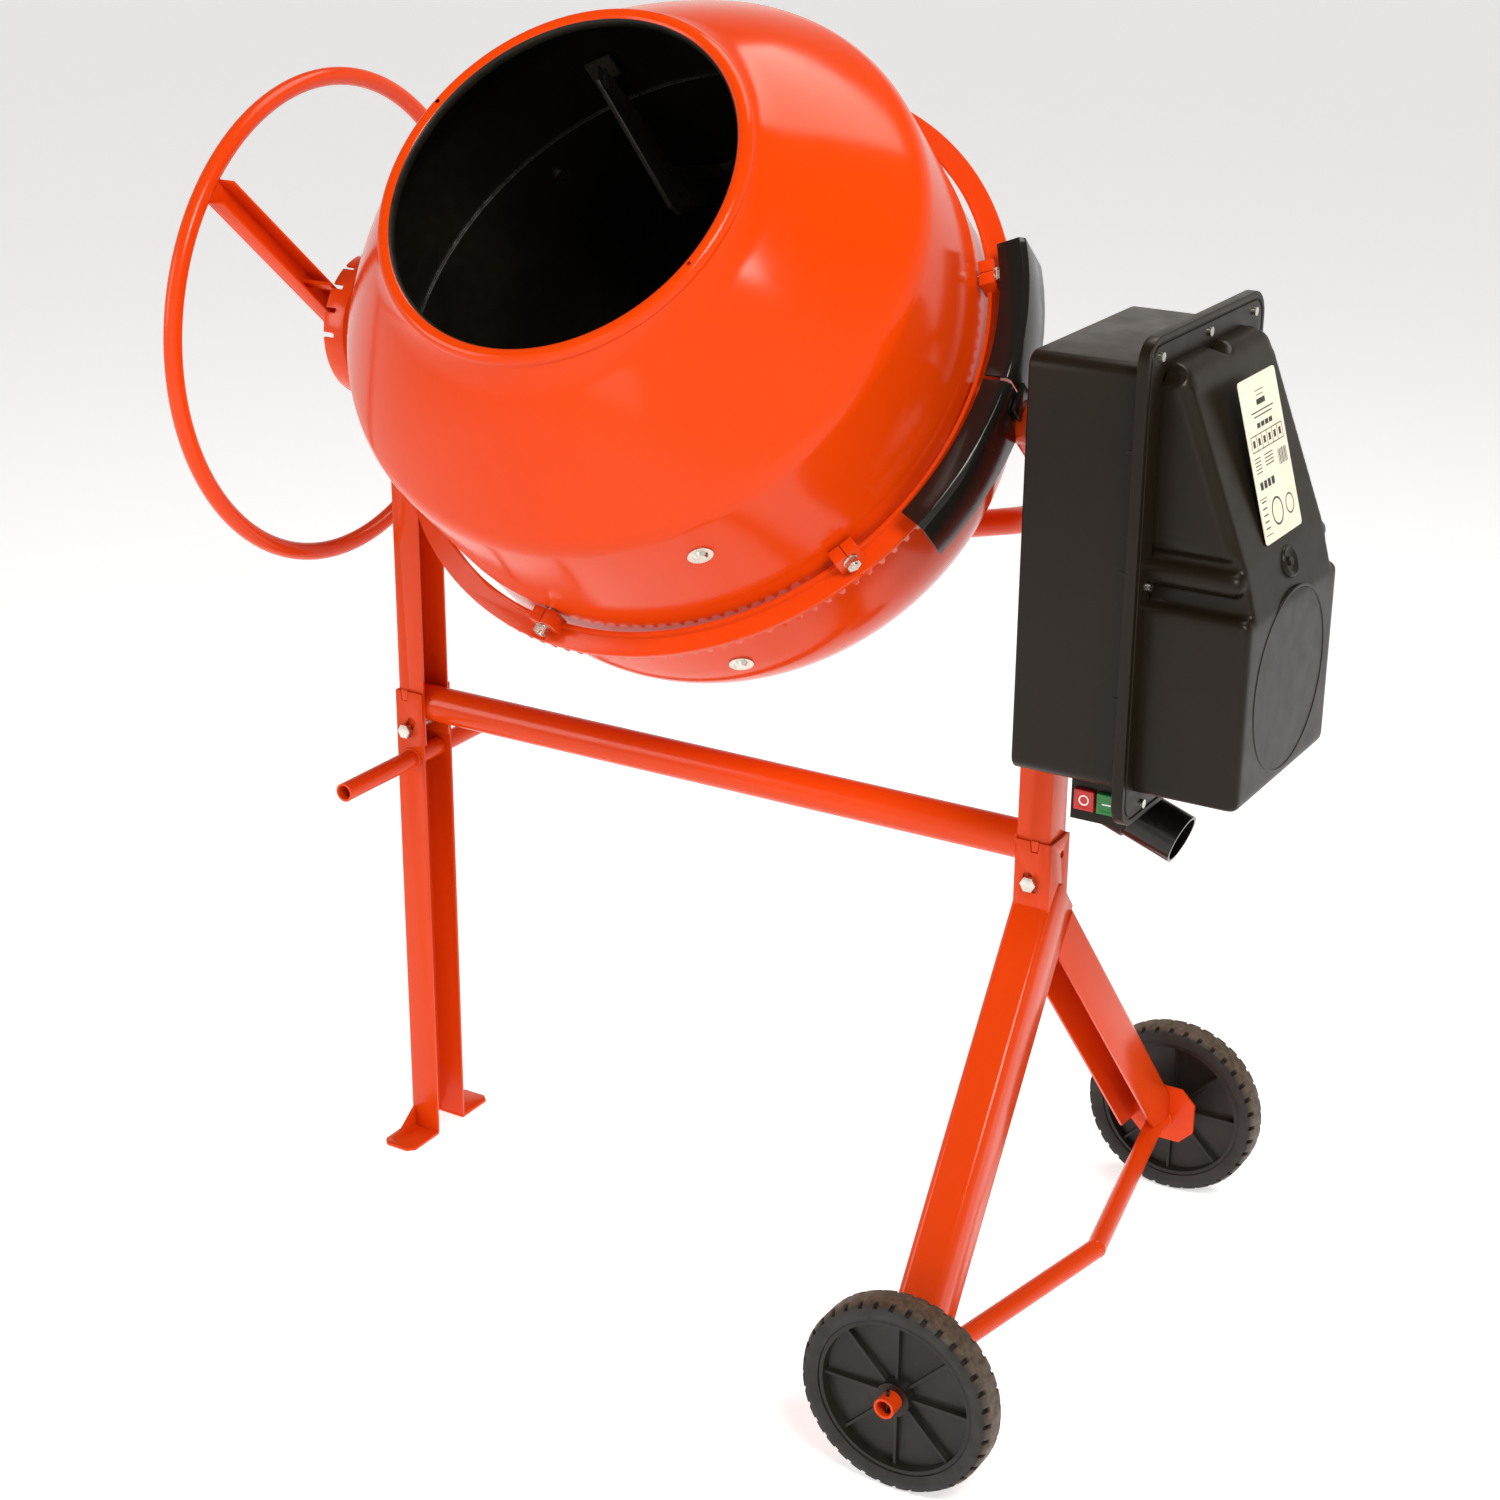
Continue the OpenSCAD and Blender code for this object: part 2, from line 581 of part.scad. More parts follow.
// ---- motor and belt ----
bracket_x = box_x + shell_t;
belt_x = bracket_x + 32;
motor_face_x = belt_x + 34;
motor_l = cover_x - motor_face_x - 18;
module motor_bracket() color("gray") placed() translate([0, 0, motor_h]) difference() {
    // Four-sided frame: back plate on the post, two cheeks and the motor's plate
    translate([bracket_x, -motor_r - 4, -36]) cube([motor_face_x - bracket_x, 2 * motor_r + 8, 72]);
    translate([bracket_x + leg_t, -motor_r - 1, -40])
        cube([motor_face_x - bracket_x - 2 * leg_t, 2 * motor_r + 2, 80]);
    along_x(motor_face_x - 10) cylinder(r = 20, h = 20);
}
module motor() color("silver") placed() translate([0, 0, motor_h]) difference() {
    union() {
        along_x(motor_face_x) cylinder(r = motor_r, h = motor_l - 14);
        for (a = [15:30:345]) rotate([a, 0, 0])
            translate([motor_face_x + 12, -1.5, motor_r - 1]) cube([motor_l - 40, 3, 5]);
        along_x(motor_face_x + motor_l - 14) cylinder(r = motor_r - 8, h = 14);
    }
    along_x(motor_face_x - 1) cylinder(r = 7 + run_gap, h = motor_l - 20);
}
module motor_rotor() color("silver") placed() translate([0, 0, motor_h]) {
    along_x(belt_x - 6) cylinder(r = 7, h = motor_face_x + motor_l - 30 - belt_x);
    along_x(belt_x) ring(motor_pulley_r, 7, belt_w);
    for (x = [belt_x - 2, belt_x + belt_w]) along_x(x) ring(motor_pulley_r + 4, 7, 2);
}
belt_t = 3;
belt_gap = 0.35;
module belt_path(g) hull() {
    translate([0, tilt_h]) circle(r = pulley_r + g, $fn = 72);
    translate([0, motor_h]) circle(r = motor_pulley_r + g, $fn = 32);
}
module drive_belt() color("black") placed() plate_x(belt_x + 1, belt_w - 2, 0) difference() {
    belt_path(belt_gap + belt_t);
    belt_path(belt_gap);
}
module drive_pulley() color("silver") at_tilt_axis(belt_x) difference() {
    union() {
        ring(pulley_r, pulley_r - 8, belt_w);
        translate([0, 0, belt_w / 2 - 3]) ring(pulley_r - 7, shaft_r, 6);
        translate([0, 0, -4]) ring(20, shaft_r, belt_w + 8);
    }
    for (a = [0:60:300]) rotate([0, 0, a]) translate([50, 0, -5]) cylinder(r = 16, h = 40);
}
shaft_in_x = ring_in - 2;
module drive_shaft() color("silver") at_tilt_axis(shaft_in_x)
    cylinder(r = shaft_r, h = belt_x + belt_w + 12 - shaft_in_x);

// ---- pinion ----
pinion_root_r = pinion_pitch_r - tooth_tip - 0.8;
pinion_half = 0.2 * pitch_l;
module pinion() color("dimgray") tilting() along_x(ring_in - 1) difference() {
    linear_extrude(ring_w - 1) {
        circle(r = pinion_root_r);
        for (i = [0:pinion_teeth - 1]) rotate((i + 0.5) * 360 / pinion_teeth) polygon([
            [pinion_root_r - 2, -pinion_half * 1.2], [pinion_pitch_r, -pinion_half],
            [pinion_pitch_r + pinion_add, -pinion_half * 0.66],
            [pinion_pitch_r + pinion_add, pinion_half * 0.66],
            [pinion_pitch_r, pinion_half], [pinion_root_r - 2, pinion_half * 1.2]]);
    }
    translate([0, 0, -1]) cylinder(r = shaft_r, h = ring_w + 4);
}

// ---- ring gear ----
ring_half = 0.21 * pitch_l;
module ring_tooth() {
    // A straight prism along the radius, pointing down from the ring, just short of its edges
    edge = 0.6;
    top = ring_half + (ring_root_h - pinion_pitch_r) * flank;
    tip = ring_half - tooth_tip * flank;
    translate([ring_in + edge, 0, 0]) rotate([90, 0, 90]) linear_extrude(ring_w - 2 * edge) polygon([
        [-top, ring_root_h + 0.5], [-top, ring_root_h], [-tip, pinion_pitch_r - tooth_tip],
        [tip, pinion_pitch_r - tooth_tip], [top, ring_root_h], [top, ring_root_h + 0.5]]);
}
lug_w = 13;
lug_out = ring_in + 11;
module gear_segment(i) color(RED_ORANGE) tilting() rotate([0, 0, (i - 1) * 60]) {
    a0 = joint_0;
    cut = 0.06;
    difference() {
        union() {
            translate([0, 0, ring_root_h]) rotate([0, 0, a0 + cut])
                rotate_extrude(angle = 60 - 2 * cut, $fn = 180) {
                    translate([ring_in, 0]) square([ring_w, ring_base]);
                    translate([ring_in, 0]) square([4, ring_base + 6]);
                }
            for (k = [0:ring_teeth / segments - 1]) rotate([0, 0, a0 + (k + 0.5) * tooth_step])
                ring_tooth();
            for (e = [0, 1]) rotate([0, 0, a0 + e * 60])
                translate([drum_r, e == 0 ? 0.5 : -lug_w - 0.5, ring_top_h - 1])
                    cube([lug_out - drum_r, lug_w, 22]);
        }
        for (e = [0, 1]) rotate([0, 0, a0 + e * 60]) translate([drum_r - 5, 0, lug_bolt_h])
            rotate([0, 90, 0]) cylinder(r = lug_bolt_r + 0.2, h = 40);
        // The lugs seat on the drum's side
        translate([0, 0, ring_root_h]) cylinder(r = drum_r + 0.2, h = 60, $fn = 180);
    }
}
module ring_bolts() color(ZINC) tilting()
    for (i = [0:segments - 1]) rotate([0, 0, joint_0 + i * 60])
        translate([bowl_r - drum_wall, 0, lug_bolt_h]) rotate([0, 90, 0]) {
            translate([0, 0, -3.2]) cylinder(r = 7.5, h = 3);
            translate([0, 0, -0.5]) cylinder(r = lug_bolt_r, h = lug_out - bowl_r + drum_wall + 10);
            translate([0, 0, lug_out - bowl_r + drum_wall]) {
                cylinder(r = 8, h = 1.6);
                translate([0, 0, 1.6]) cylinder(r = 7.4, h = 6.5, $fn = 6);
            }
        }

// ---- drum ----
bowl_r = drum_r - drum_wall - fit_gap;
cone_a = atan2(mouth_h - bead_r - shoulder_h, drum_r - mouth_r + bead_r);
// Outer outline of the upper half from its lower edge to the bead: the cone is slightly crowned.
upper_line = concat(
    [[drum_r, seam_h]],
    arc([drum_r - shoulder_r, shoulder_h], shoulder_r, 0, 90 - cone_a - 8, 7),
    let(a = 90 - cone_a - 8,
        p = [drum_r - shoulder_r + shoulder_r * cos(a), shoulder_h + shoulder_r * sin(a)],
        q = [mouth_r - bead_r + 1, mouth_h - bead_r - 4], n = unit([p[1] - q[1], q[0] - p[0]]))
    [for (i = [1:6]) let(f = i / 6) p + f * (q - p) - 5 * n * 4 * f * (1 - f)]);
module drum_upper() color(ORANGE) tilting() difference() {
    union() {
        rotate_extrude($fn = 180) polygon(sheet(upper_line, drum_wall));
        rotate_extrude($fn = 180) translate([mouth_r - bead_r, mouth_h - bead_r])
            circle(r = bead_r, $fn = 32);
    }
    drum_bolt_holes();
    lug_bolt_holes();
}
lower_line = concat(
    [[bowl_r, seam_h + seam_lap], [bowl_r, -bowl_side]],
    [for (i = [1:9]) let(a = i * 8.2) [bowl_r * cos(a), -bowl_side - (bowl_depth - bowl_side) * sin(a)]],
    [[bowl_flat_r - 10, -bowl_depth], [spindle_r + 10, -bowl_depth]]);
module drum_lower() color(ORANGE) tilting() difference() {
    rotate_extrude($fn = 180) polygon(sheet(lower_line, -drum_wall));
    drum_bolt_holes();
    lug_bolt_holes();
}
// Blade bolts: [angle round the drum, height]
blade_bolts = [for (s = [0, 180]) each [[-57 + s, 152], [-66 + s, -58]]];
module drum_bolt_holes() for (b = blade_bolts) rotate([0, 0, b[0]])
    translate([drum_r - 20, 0, b[1]]) rotate([0, 90, 0]) cylinder(r = 4.2, h = 40);
module lug_bolt_holes() for (i = [0:segments - 1]) rotate([0, 0, joint_0 + i * 60])
    translate([drum_r - 20, 0, lug_bolt_h]) rotate([0, 90, 0]) cylinder(r = lug_bolt_r + 0.2, h = 40);
module drum_bolts() color(ZINC) tilting() for (b = blade_bolts) rotate([0, 0, b[0]])
    translate([b[1] > 0 ? drum_r : bowl_r, 0, b[1]]) rotate([0, 90, 0]) {
        translate([0, 0, -14]) cylinder(r = 4, h = 15);
        cylinder(r = 12, h = 1.6);
        translate([0, 0, 1.6]) cylinder(r1 = 7.5, r2 = 5, h = 3.4, $fn = 48);
    }
module drum_hub() color(RED_ORANGE) tilting() difference() {
    union() {
        translate([0, 0, -bowl_depth - 6]) cylinder(r = bowl_flat_r - 14, h = 6 - drum_wall);
        translate([0, 0, -bowl_depth - 58]) cylinder(r = hub_sleeve_r, h = 88);
    }
    translate([0, 0, -bowl_depth - 60]) cylinder(r = spindle_r + run_gap, h = 84);
}
hub_sleeve_r = spindle_r + 9.7;
blade_t = 5;
module mixing_blades() color(RED_ORANGE) tilting() for (s = [0, 180]) rotate([0, 0, s]) {
    mid_a = (blade_bolts[0][0] + blade_bolts[1][0]) / 2;
    mid_b = (blade_bolts[0][1] + blade_bolts[1][1]) / 2;
    run = blade_bolts[0][1] - blade_bolts[1][1];
    skew = atan2(drum_r * sin(blade_bolts[0][0] - blade_bolts[1][0]), run);
    wall = bowl_r - drum_wall - 5;
    difference() {
        union() {
            rotate([0, 0, mid_a]) translate([0, 0, mid_b]) rotate([-skew, 0, 0]) rotate([90, 0, 0])
                linear_extrude(blade_t, center = true) polygon([
                    [wall - 3, run / 2 + 14], [wall - 3, run / 2 - 14], [wall - 60, 0],
                    [wall - 3, -run / 2 + 14], [wall - 3, -run / 2 - 14], [wall - 24, -run / 2 - 14],
                    [wall - 118, -6], [wall - 118, 10], [wall - 24, run / 2 + 14]]);
            for (k = [0, 1]) rotate([0, 0, blade_bolts[k][0]])
                translate([wall - 4, -14, blade_bolts[k][1] - 14]) cube([5, 28, 28]);
        }
        for (k = [0, 1]) rotate([0, 0, blade_bolts[k][0]])
            translate([wall - 30, 0, blade_bolts[k][1]]) rotate([0, 90, 0]) cylinder(r = 4.2, h = 60);
    }
}

// ---- yoke ----
arm_c = ring_out + 3 + yoke_r;
arm_drop = 97;
turn = 65;
boss_r = hollow_r + 5;
bend_c = arm_c - yoke_bend;
bend_end = [bend_c + yoke_bend * cos(turn), -arm_drop - yoke_bend * sin(turn)];
centre_h = bend_end[1] - bend_end[0] / tan(turn);
// Each side is an arm, a bend and a lower tube, butt welded with a hair of gap between them.
// They are cut where they meet the end bosses and the hub block, which carry the bores.
weld_gap = 0.02;
module yoke_tubes() color(RED_ORANGE) tilting() for (s = [0, 1]) mirror([s, 0, 0]) difference() {
    union() {
        translate([arm_c, 0, -arm_drop + weld_gap]) cylinder(r = yoke_r, h = arm_drop);
        translate([bend_c, 0, -arm_drop]) rotate([90, 0, 0]) rotate([0, 0, -turn])
            rotate_extrude(angle = turn) translate([yoke_bend, 0]) circle(r = yoke_r);
        translate([bend_end[0], 0, bend_end[1]]) rotate([0, 180 + turn, 0])
            translate([0, 0, weld_gap]) cylinder(r = yoke_r, h = (bend_end[0] - 12) / sin(turn));
    }
    along_x(arm_c - 3 * yoke_r) cylinder(r = boss_r, h = 6 * yoke_r);
    translate([0, 0, centre_h - 60]) cylinder(r = yoke_hub_r, h = 160);
}
yoke_hub_r = 28;
module yoke_bosses() color(RED_ORANGE) tilting() for (s = [0, 1]) mirror([s, 0, 0])
    along_x(arm_c - yoke_r + 1)
        ring(boss_r, (s == 0 ? hollow_r : trunnion_r) + 0.1, 2 * yoke_r);
module yoke_hub() color(RED_ORANGE) tilting() translate([0, 0, centre_h - 16])
    ring(yoke_hub_r, spindle_r + 0.1, -bowl_depth - 63 - centre_h + 16);
module left_trunnion() color("silver") at_tilt_axis(-handwheel_x - 6)
    cylinder(r = trunnion_r, h = handwheel_x + 6 - arm_c + yoke_r - 1);
module right_trunnion() color("silver") at_tilt_axis(arm_c - yoke_r + 1)
    ring(hollow_r, hollow_r - 5, belt_x - 7 - arm_c + yoke_r);
module shaft_bushes() color("peru") placed() translate([0, 0, tilt_h])
    for (x = [arm_c - yoke_r + 1, belt_x - 22]) along_x(x)
        ring(hollow_r - 5.1, shaft_r + run_gap, 16);
module spindle() color("silver") tilting() {
    translate([0, 0, centre_h - 10]) cylinder(r = spindle_r, h = -bowl_depth + 20 - centre_h + 10);
    translate([0, 0, -bowl_depth - 62.5]) ring(spindle_r + 8, spindle_r - 0.5, 4.2);
}

// ---- guard over the pinion ----
guard_r = ring_out + 20;
guard_t = 3;
guard_top = ring_top_h + 23;
guard_split = 2;
module guard_part(a0, a1) tilting() difference() {
    rotate([0, 0, a0]) rotate_extrude(angle = a1 - a0, $fn = 180) polygon([
        [ring_in + 17, guard_top - guard_t], [ring_in + 17, guard_top], [guard_r - 2, guard_top],
        [guard_r + guard_t, guard_top - 5], [guard_r + guard_t, 4], [guard_r, 4],
        [guard_r, guard_top - 6], [guard_r - 3, guard_top - guard_t]]);
    along_x(guard_r - 30) cylinder(r = boss_r + 1, h = 60);
}
module guard_upper() color(BLACK) guard_part(guard_split + 0.3, guard_split + 26);
module guard_lower() color(BLACK) guard_part(guard_split - 27.3, guard_split - 0.3);
module guard_clip() color(BLACK) tilting() difference() {
    rotate([0, 0, guard_split]) translate([guard_r + guard_t + 0.4, -22, 2]) cube([4, 30, 38]);
    along_x(guard_r - 30) cylinder(r = boss_r + 0.1, h = 60);
}

// ---- switch and inlet ----
switch_x = box_x + 52;
switch_w = 57;
switch_front = -92;
button_w = 20;
button_spots = [switch_x + 15, switch_x + 38];
button_h = box_low_h - 24;
inlet_r = 25;
inlet_dip = 20;
module inlet_frame() translate([switch_x + 36, -20, box_low_h - 58])
    rotate([0, 90 + inlet_dip, 0]) children();
module switch_box() color(BLACK) placed() difference() {
    union() {
        translate([switch_x, switch_front, box_low_h - 46]) cube([switch_w, 75, 46]);
        intersection() {
            inlet_frame() translate([0, 0, -30]) cylinder(r = inlet_r + 2, h = 30);
            translate([switch_x, -60, box_low_h - 100]) cube([100, 100, 100]);
        }
    }
    for (x = button_spots)
        translate([x - button_w / 2 - 0.4, switch_front - 1, button_h - button_w / 2 - 0.4])
            cube([button_w + 0.8, 9, button_w + 0.8]);
    // Seat of the inlet's collar
    inlet_frame() cylinder(r = inlet_r + fit_gap, h = 60);
}
module button(x) placed()
    translate([x - button_w / 2, switch_front - 5, button_h - button_w / 2])
        cube([button_w, 9, button_w]);
module stop_button() color("firebrick") button(button_spots[0]);
module start_button() color("green") button(button_spots[1]);
module plug_inlet() color(BLACK) placed() inlet_frame() {
    difference() {
        cylinder(r = inlet_r, h = 52);
        translate([0, 0, 6]) cylinder(r = inlet_r - 3, h = 52);
    }
    for (a = [90, 210, 330]) rotate([0, 0, a]) translate([11, 0, 5]) cylinder(r = 2.4, h = 24);
    translate([0, 0, 5]) cylinder(r = 3, h = 8);
}

// ---- wheels ----
rim_r = wheel_r - 18;
notches = 36;
module tyre(y) placed() translate([axle_x, y, wheel_r]) rotate([-90, 0, 0]) difference() {
    rotate_extrude($fn = 120) polygon([
        [rim_r, -tyre_w / 2 + 3], [wheel_r - 11, -tyre_w / 2], [wheel_r - 3, -tyre_w / 2 + 1],
        [wheel_r, -tyre_w / 2 + 7], [wheel_r, tyre_w / 2 - 7], [wheel_r - 3, tyre_w / 2 - 1],
        [wheel_r - 11, tyre_w / 2], [rim_r, tyre_w / 2 - 3]]);
    for (s = [-1, 1], i = [0:notches - 1]) rotate([0, 0, (i + s * 0.25) * 360 / notches])
        translate([wheel_r - 5, -2.5, s * (tyre_w / 2 - 4) - 5]) cube([10, 5, 10]);
}
module wheel_disc(y) placed() translate([axle_x, y, wheel_r]) rotate([-90, 0, 0]) difference() {
    union() {
        translate([0, 0, -tyre_w / 2 + 4]) ring(rim_r - 0.2, rim_r - 5, tyre_w - 8);
        translate([0, 0, -2.5]) ring(rim_r - 4, axle_r + 3, 5);
        translate([0, 0, -hub_half]) cylinder(r = 17, h = 2 * hub_half);
        for (a = [0:45:315]) rotate([0, 0, a]) translate([14, -1.5, -9]) cube([rim_r - 18, 3, 18]);
    }
    translate([0, 0, -50]) cylinder(r = axle_r + run_gap, h = 100);
}
module near_tyre() color("black") tyre(-track / 2);
module far_tyre() color("black") tyre(track / 2);
module near_wheel_disc() color(BLACK) wheel_disc(-track / 2);
module far_wheel_disc() color(BLACK) wheel_disc(track / 2);

left_lower_leg();
foot_plates();
left_upper_leg();
lifting_handle();
crossbar();
right_upper_post();
right_lower_post();
near_wheel_leg();
far_wheel_leg();
axle_brackets();
axle();
axle_retainers();
frame_bolts();
left_bearing();
right_bearing();
locking_disc();
housing_box();
housing_rim();
housing_cover();
housing_screws();
rating_plate();
motor_bracket();
motor();
drive_belt();
switch_box();
plug_inlet();
yoke_tubes();
yoke_bosses();
yoke_hub();
left_trunnion();
right_trunnion();
shaft_bushes();
spindle();
guard_upper();
guard_lower();
guard_clip();
drum_upper();
drum_lower();
drum_hub();
mixing_blades();
drum_bolts();
ring_bolts();
for (i = [1:segments]) gear_segment(i);
pinion();
drive_shaft();
drive_pulley();
motor_rotor();
handwheel();
handwheel_hub();
stop_button();
start_button();
near_tyre();
near_wheel_disc();
far_tyre();
far_wheel_disc();
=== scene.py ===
# %% [markdown]
# # A concrete mixer, from its working frame to its finish
# The mixer has a tilting drum on a yoke, a leg with a big handwheel, a post
# with the motor housing, and two wheels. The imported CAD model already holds
# every part at its true size. This lesson loads it as a fixed frame, then
# gives each part the skin and the finish that the real machine has.

# %% Load the frame
import json
import math
import bmesh
import bpy
from mathutils import Euler, Matrix, Vector

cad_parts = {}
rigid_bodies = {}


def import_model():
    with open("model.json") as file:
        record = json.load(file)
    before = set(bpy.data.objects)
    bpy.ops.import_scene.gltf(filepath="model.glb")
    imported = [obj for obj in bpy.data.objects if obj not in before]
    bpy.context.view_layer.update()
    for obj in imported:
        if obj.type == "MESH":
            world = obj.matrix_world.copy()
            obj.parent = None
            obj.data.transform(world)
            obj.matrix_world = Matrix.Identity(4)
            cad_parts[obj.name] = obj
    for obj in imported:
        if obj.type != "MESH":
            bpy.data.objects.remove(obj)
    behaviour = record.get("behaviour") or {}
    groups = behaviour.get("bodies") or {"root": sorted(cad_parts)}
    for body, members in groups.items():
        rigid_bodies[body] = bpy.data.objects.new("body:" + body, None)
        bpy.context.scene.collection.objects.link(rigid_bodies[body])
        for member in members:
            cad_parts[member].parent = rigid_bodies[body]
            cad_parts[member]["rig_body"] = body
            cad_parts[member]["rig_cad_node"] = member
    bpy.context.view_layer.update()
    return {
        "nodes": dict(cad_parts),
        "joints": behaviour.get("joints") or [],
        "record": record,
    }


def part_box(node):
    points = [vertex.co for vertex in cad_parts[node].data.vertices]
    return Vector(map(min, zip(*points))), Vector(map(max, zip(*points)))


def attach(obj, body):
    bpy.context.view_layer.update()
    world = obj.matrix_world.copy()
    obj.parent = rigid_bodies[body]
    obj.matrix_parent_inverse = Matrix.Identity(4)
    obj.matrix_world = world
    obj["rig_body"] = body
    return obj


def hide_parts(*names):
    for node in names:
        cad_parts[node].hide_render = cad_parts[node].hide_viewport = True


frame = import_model()
nodes = frame["nodes"]
MM = 0.001

# %% [markdown]
# ## Where things are
# Sizes and places come from the frame, so a piece can't drift away from the
# part it dresses. A joint gives an axis: the drum's joint says how far the
# drum leans, and the tilt joint says where the yoke turns.

# %% Read places from the frame
joints = {joint["name"]: joint for joint in frame["joints"]}
tilt_centre = Vector(joints["tilt"]["pos_m"])
drum_axis = Vector(joints["drum_spin"]["axis"])
drum_lean = math.atan2(-drum_axis.y, drum_axis.z)
print("drum leans", round(math.degrees(drum_lean), 1), "degrees")


def middle(node):
    """The centre of a node's box."""
    low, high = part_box(node)
    return (low + high) / 2


# %% [markdown]
# ## Camera
# The mixer is seen from its front right, from a little above. A long lens
# keeps the upright posts parallel, as a product picture has them. The camera
# is placed by the turn, the height angle and the distance from the spot that
# it looks at, which is easier to reason about than a raw position.

# %% Place the camera
VIEW_TURN = math.radians(30.87)
VIEW_DOWN = math.radians(21.36)
VIEW_ROLL = math.radians(0.44)
VIEW_DISTANCE = 2.83
LENS_MM = 66.2
aim = Vector((0.0038, -0.0306, 0.5829))
turned_view = (Matrix.Rotation(VIEW_TURN, 3, "Z")
               @ Matrix.Rotation(math.pi / 2 - VIEW_DOWN, 3, "X")
               @ Matrix.Rotation(VIEW_ROLL, 3, "Z"))
bpy.ops.object.camera_add(
    location=aim + turned_view @ Vector((0, 0, VIEW_DISTANCE)),
    rotation=turned_view.to_euler())
camera = bpy.context.object
camera.data.lens = LENS_MM
camera.data.sensor_width = 36
bpy.context.scene.camera = camera
print("camera at", [round(v, 3) for v in camera.location])

# %% [markdown]
# ## Floor and light
# A studio uses a pale floor and large soft boxes. One wide box high on the
# right draws the long soft highlight on the drum's shoulder, another at the
# left front lights the bowl and the legs, a weak one fills the front, and a
# top light separates the black housing from the floor. The room is pale near
# the horizon and dim overhead. The plain standard view keeps the orange pure.


# %% Build the studio
def soft_box(name, place, size, power, look_at):
    """A square area light aimed at a spot."""
    direction = Vector(look_at) - Vector(place)
    bpy.ops.object.light_add(type="AREA", location=place,
                             rotation=direction.to_track_quat("-Z", "Y").to_euler())
    lamp = bpy.context.object
    lamp.name = name
    lamp.data.shape = "SQUARE"
    lamp.data.size = size
    lamp.data.energy = power
    lamp.data.color = (1.0, 0.95, 0.88)
    return lamp


soft_box("key_box", (1.9, -1.5, 2.9), 1.1, 76, (0, 0, 0.9))
soft_box("left_box", (-2.2, -2.2, 1.7), 1.3, 30, (0, 0, 0.8))
soft_box("front_box", (0.6, -3.4, 0.9), 1.0, 6, (0.1, 0, 0.6))
soft_box("top_box", (0.2, 1.2, 3.4), 1.8, 46, (0, 0, 0.9))
# The room's strength near the floor and overhead, and the heights between
# which it fades, as the upward part of a direction
ROOM_PALE, ROOM_DIM = 0.85, 0.12
FADE_LOW, FADE_HIGH = 0.15, 0.55
FLOOR_SIZE = 60
world = bpy.data.worlds.new("studio")
bpy.context.scene.world = world
world.use_nodes = True
background = world.node_tree.nodes["Background"]
background.inputs["Color"].default_value = (1.0, 0.94, 0.87, 1)
direction = world.node_tree.nodes.new("ShaderNodeTexCoord")
height = world.node_tree.nodes.new("ShaderNodeSeparateXYZ")
world.node_tree.links.new(direction.outputs["Generated"], height.inputs["Vector"])
fade = world.node_tree.nodes.new("ShaderNodeMapRange")
fade.inputs["From Min"].default_value = FADE_LOW
fade.inputs["From Max"].default_value = FADE_HIGH
fade.inputs["To Min"].default_value = ROOM_PALE
fade.inputs["To Max"].default_value = ROOM_DIM
world.node_tree.links.new(height.outputs["Z"], fade.inputs["Value"])
world.node_tree.links.new(fade.outputs["Result"], background.inputs["Strength"])
bpy.context.scene.view_settings.view_transform = "Standard"

bpy.ops.mesh.primitive_plane_add(size=FLOOR_SIZE)
floor = bpy.context.object
floor.name = "floor"
print("studio ready")

# %% [markdown]
# ## Finishes
# Every finish here is made of nodes on Object coordinates, so it stays on the
# part when the part moves. Powder coat is a coloured gloss over a faint
# orange-peel bump. Bare metal has fine variation in its roughness. Moulded
# plastic has a spark-eroded grain. One function builds them all: two close
# colours mixed by a slow noise, roughness moved by a middle noise, and a
# bump from a fine one.


# %% The finish builder
def finish(name, colour, second, rough, vary=0.05, metal=0.0, gloss=0.5,
           patch=6.0, grain=900.0, bump=0.05, depth=0.0002, amount=0.5):
    """A material: two colours, a roughness that varies, and a fine bump."""
    material = bpy.data.materials.new(name)
    material.use_nodes = True
    tree = material.node_tree
    shader = tree.nodes["Principled BSDF"]
    shader.inputs["Metallic"].default_value = metal
    shader.inputs["Specular IOR Level"].default_value = gloss
    place = tree.nodes.new("ShaderNodeTexCoord").outputs["Object"]

    def noise(scale, detail):
        node = tree.nodes.new("ShaderNodeTexNoise")
        node.inputs["Scale"].default_value = scale
        node.inputs["Detail"].default_value = detail
        tree.links.new(place, node.inputs["Vector"])
        return node.outputs["Fac"]

    ramp = tree.nodes.new("ShaderNodeValToRGB")
    ramp.color_ramp.elements[0].position = amount - 0.18
    ramp.color_ramp.elements[1].position = amount + 0.18
    ramp.color_ramp.elements[0].color = (*colour, 1)
    ramp.color_ramp.elements[1].color = (*second, 1)
    tree.links.new(noise(patch, 5.0), ramp.inputs["Fac"])
    tree.links.new(ramp.outputs["Color"], shader.inputs["Base Color"])
    spread = tree.nodes.new("ShaderNodeMapRange")
    spread.inputs["From Min"].default_value = 0.3
    spread.inputs["From Max"].default_value = 0.7
    spread.inputs["To Min"].default_value = max(rough - vary, 0.02)
    spread.inputs["To Max"].default_value = rough + vary
    tree.links.new(noise(patch * 9, 4.0), spread.inputs["Value"])
    tree.links.new(spread.outputs["Result"], shader.inputs["Roughness"])
    relief = tree.nodes.new("ShaderNodeBump")
    relief.inputs["Strength"].default_value = bump
    relief.inputs["Distance"].default_value = depth
    tree.links.new(noise(grain, 3.0), relief.inputs["Height"])
    tree.links.new(relief.outputs["Normal"], shader.inputs["Normal"])
    return material


# %% [markdown]
# The drum and the frame wear nearly the same orange, and the drum's is glossier.
# Inside, the drum is dark and dull. The plastics are warm blacks: a satin one
# for the housing, a gloss one for the ring guard and the inlet's collar.

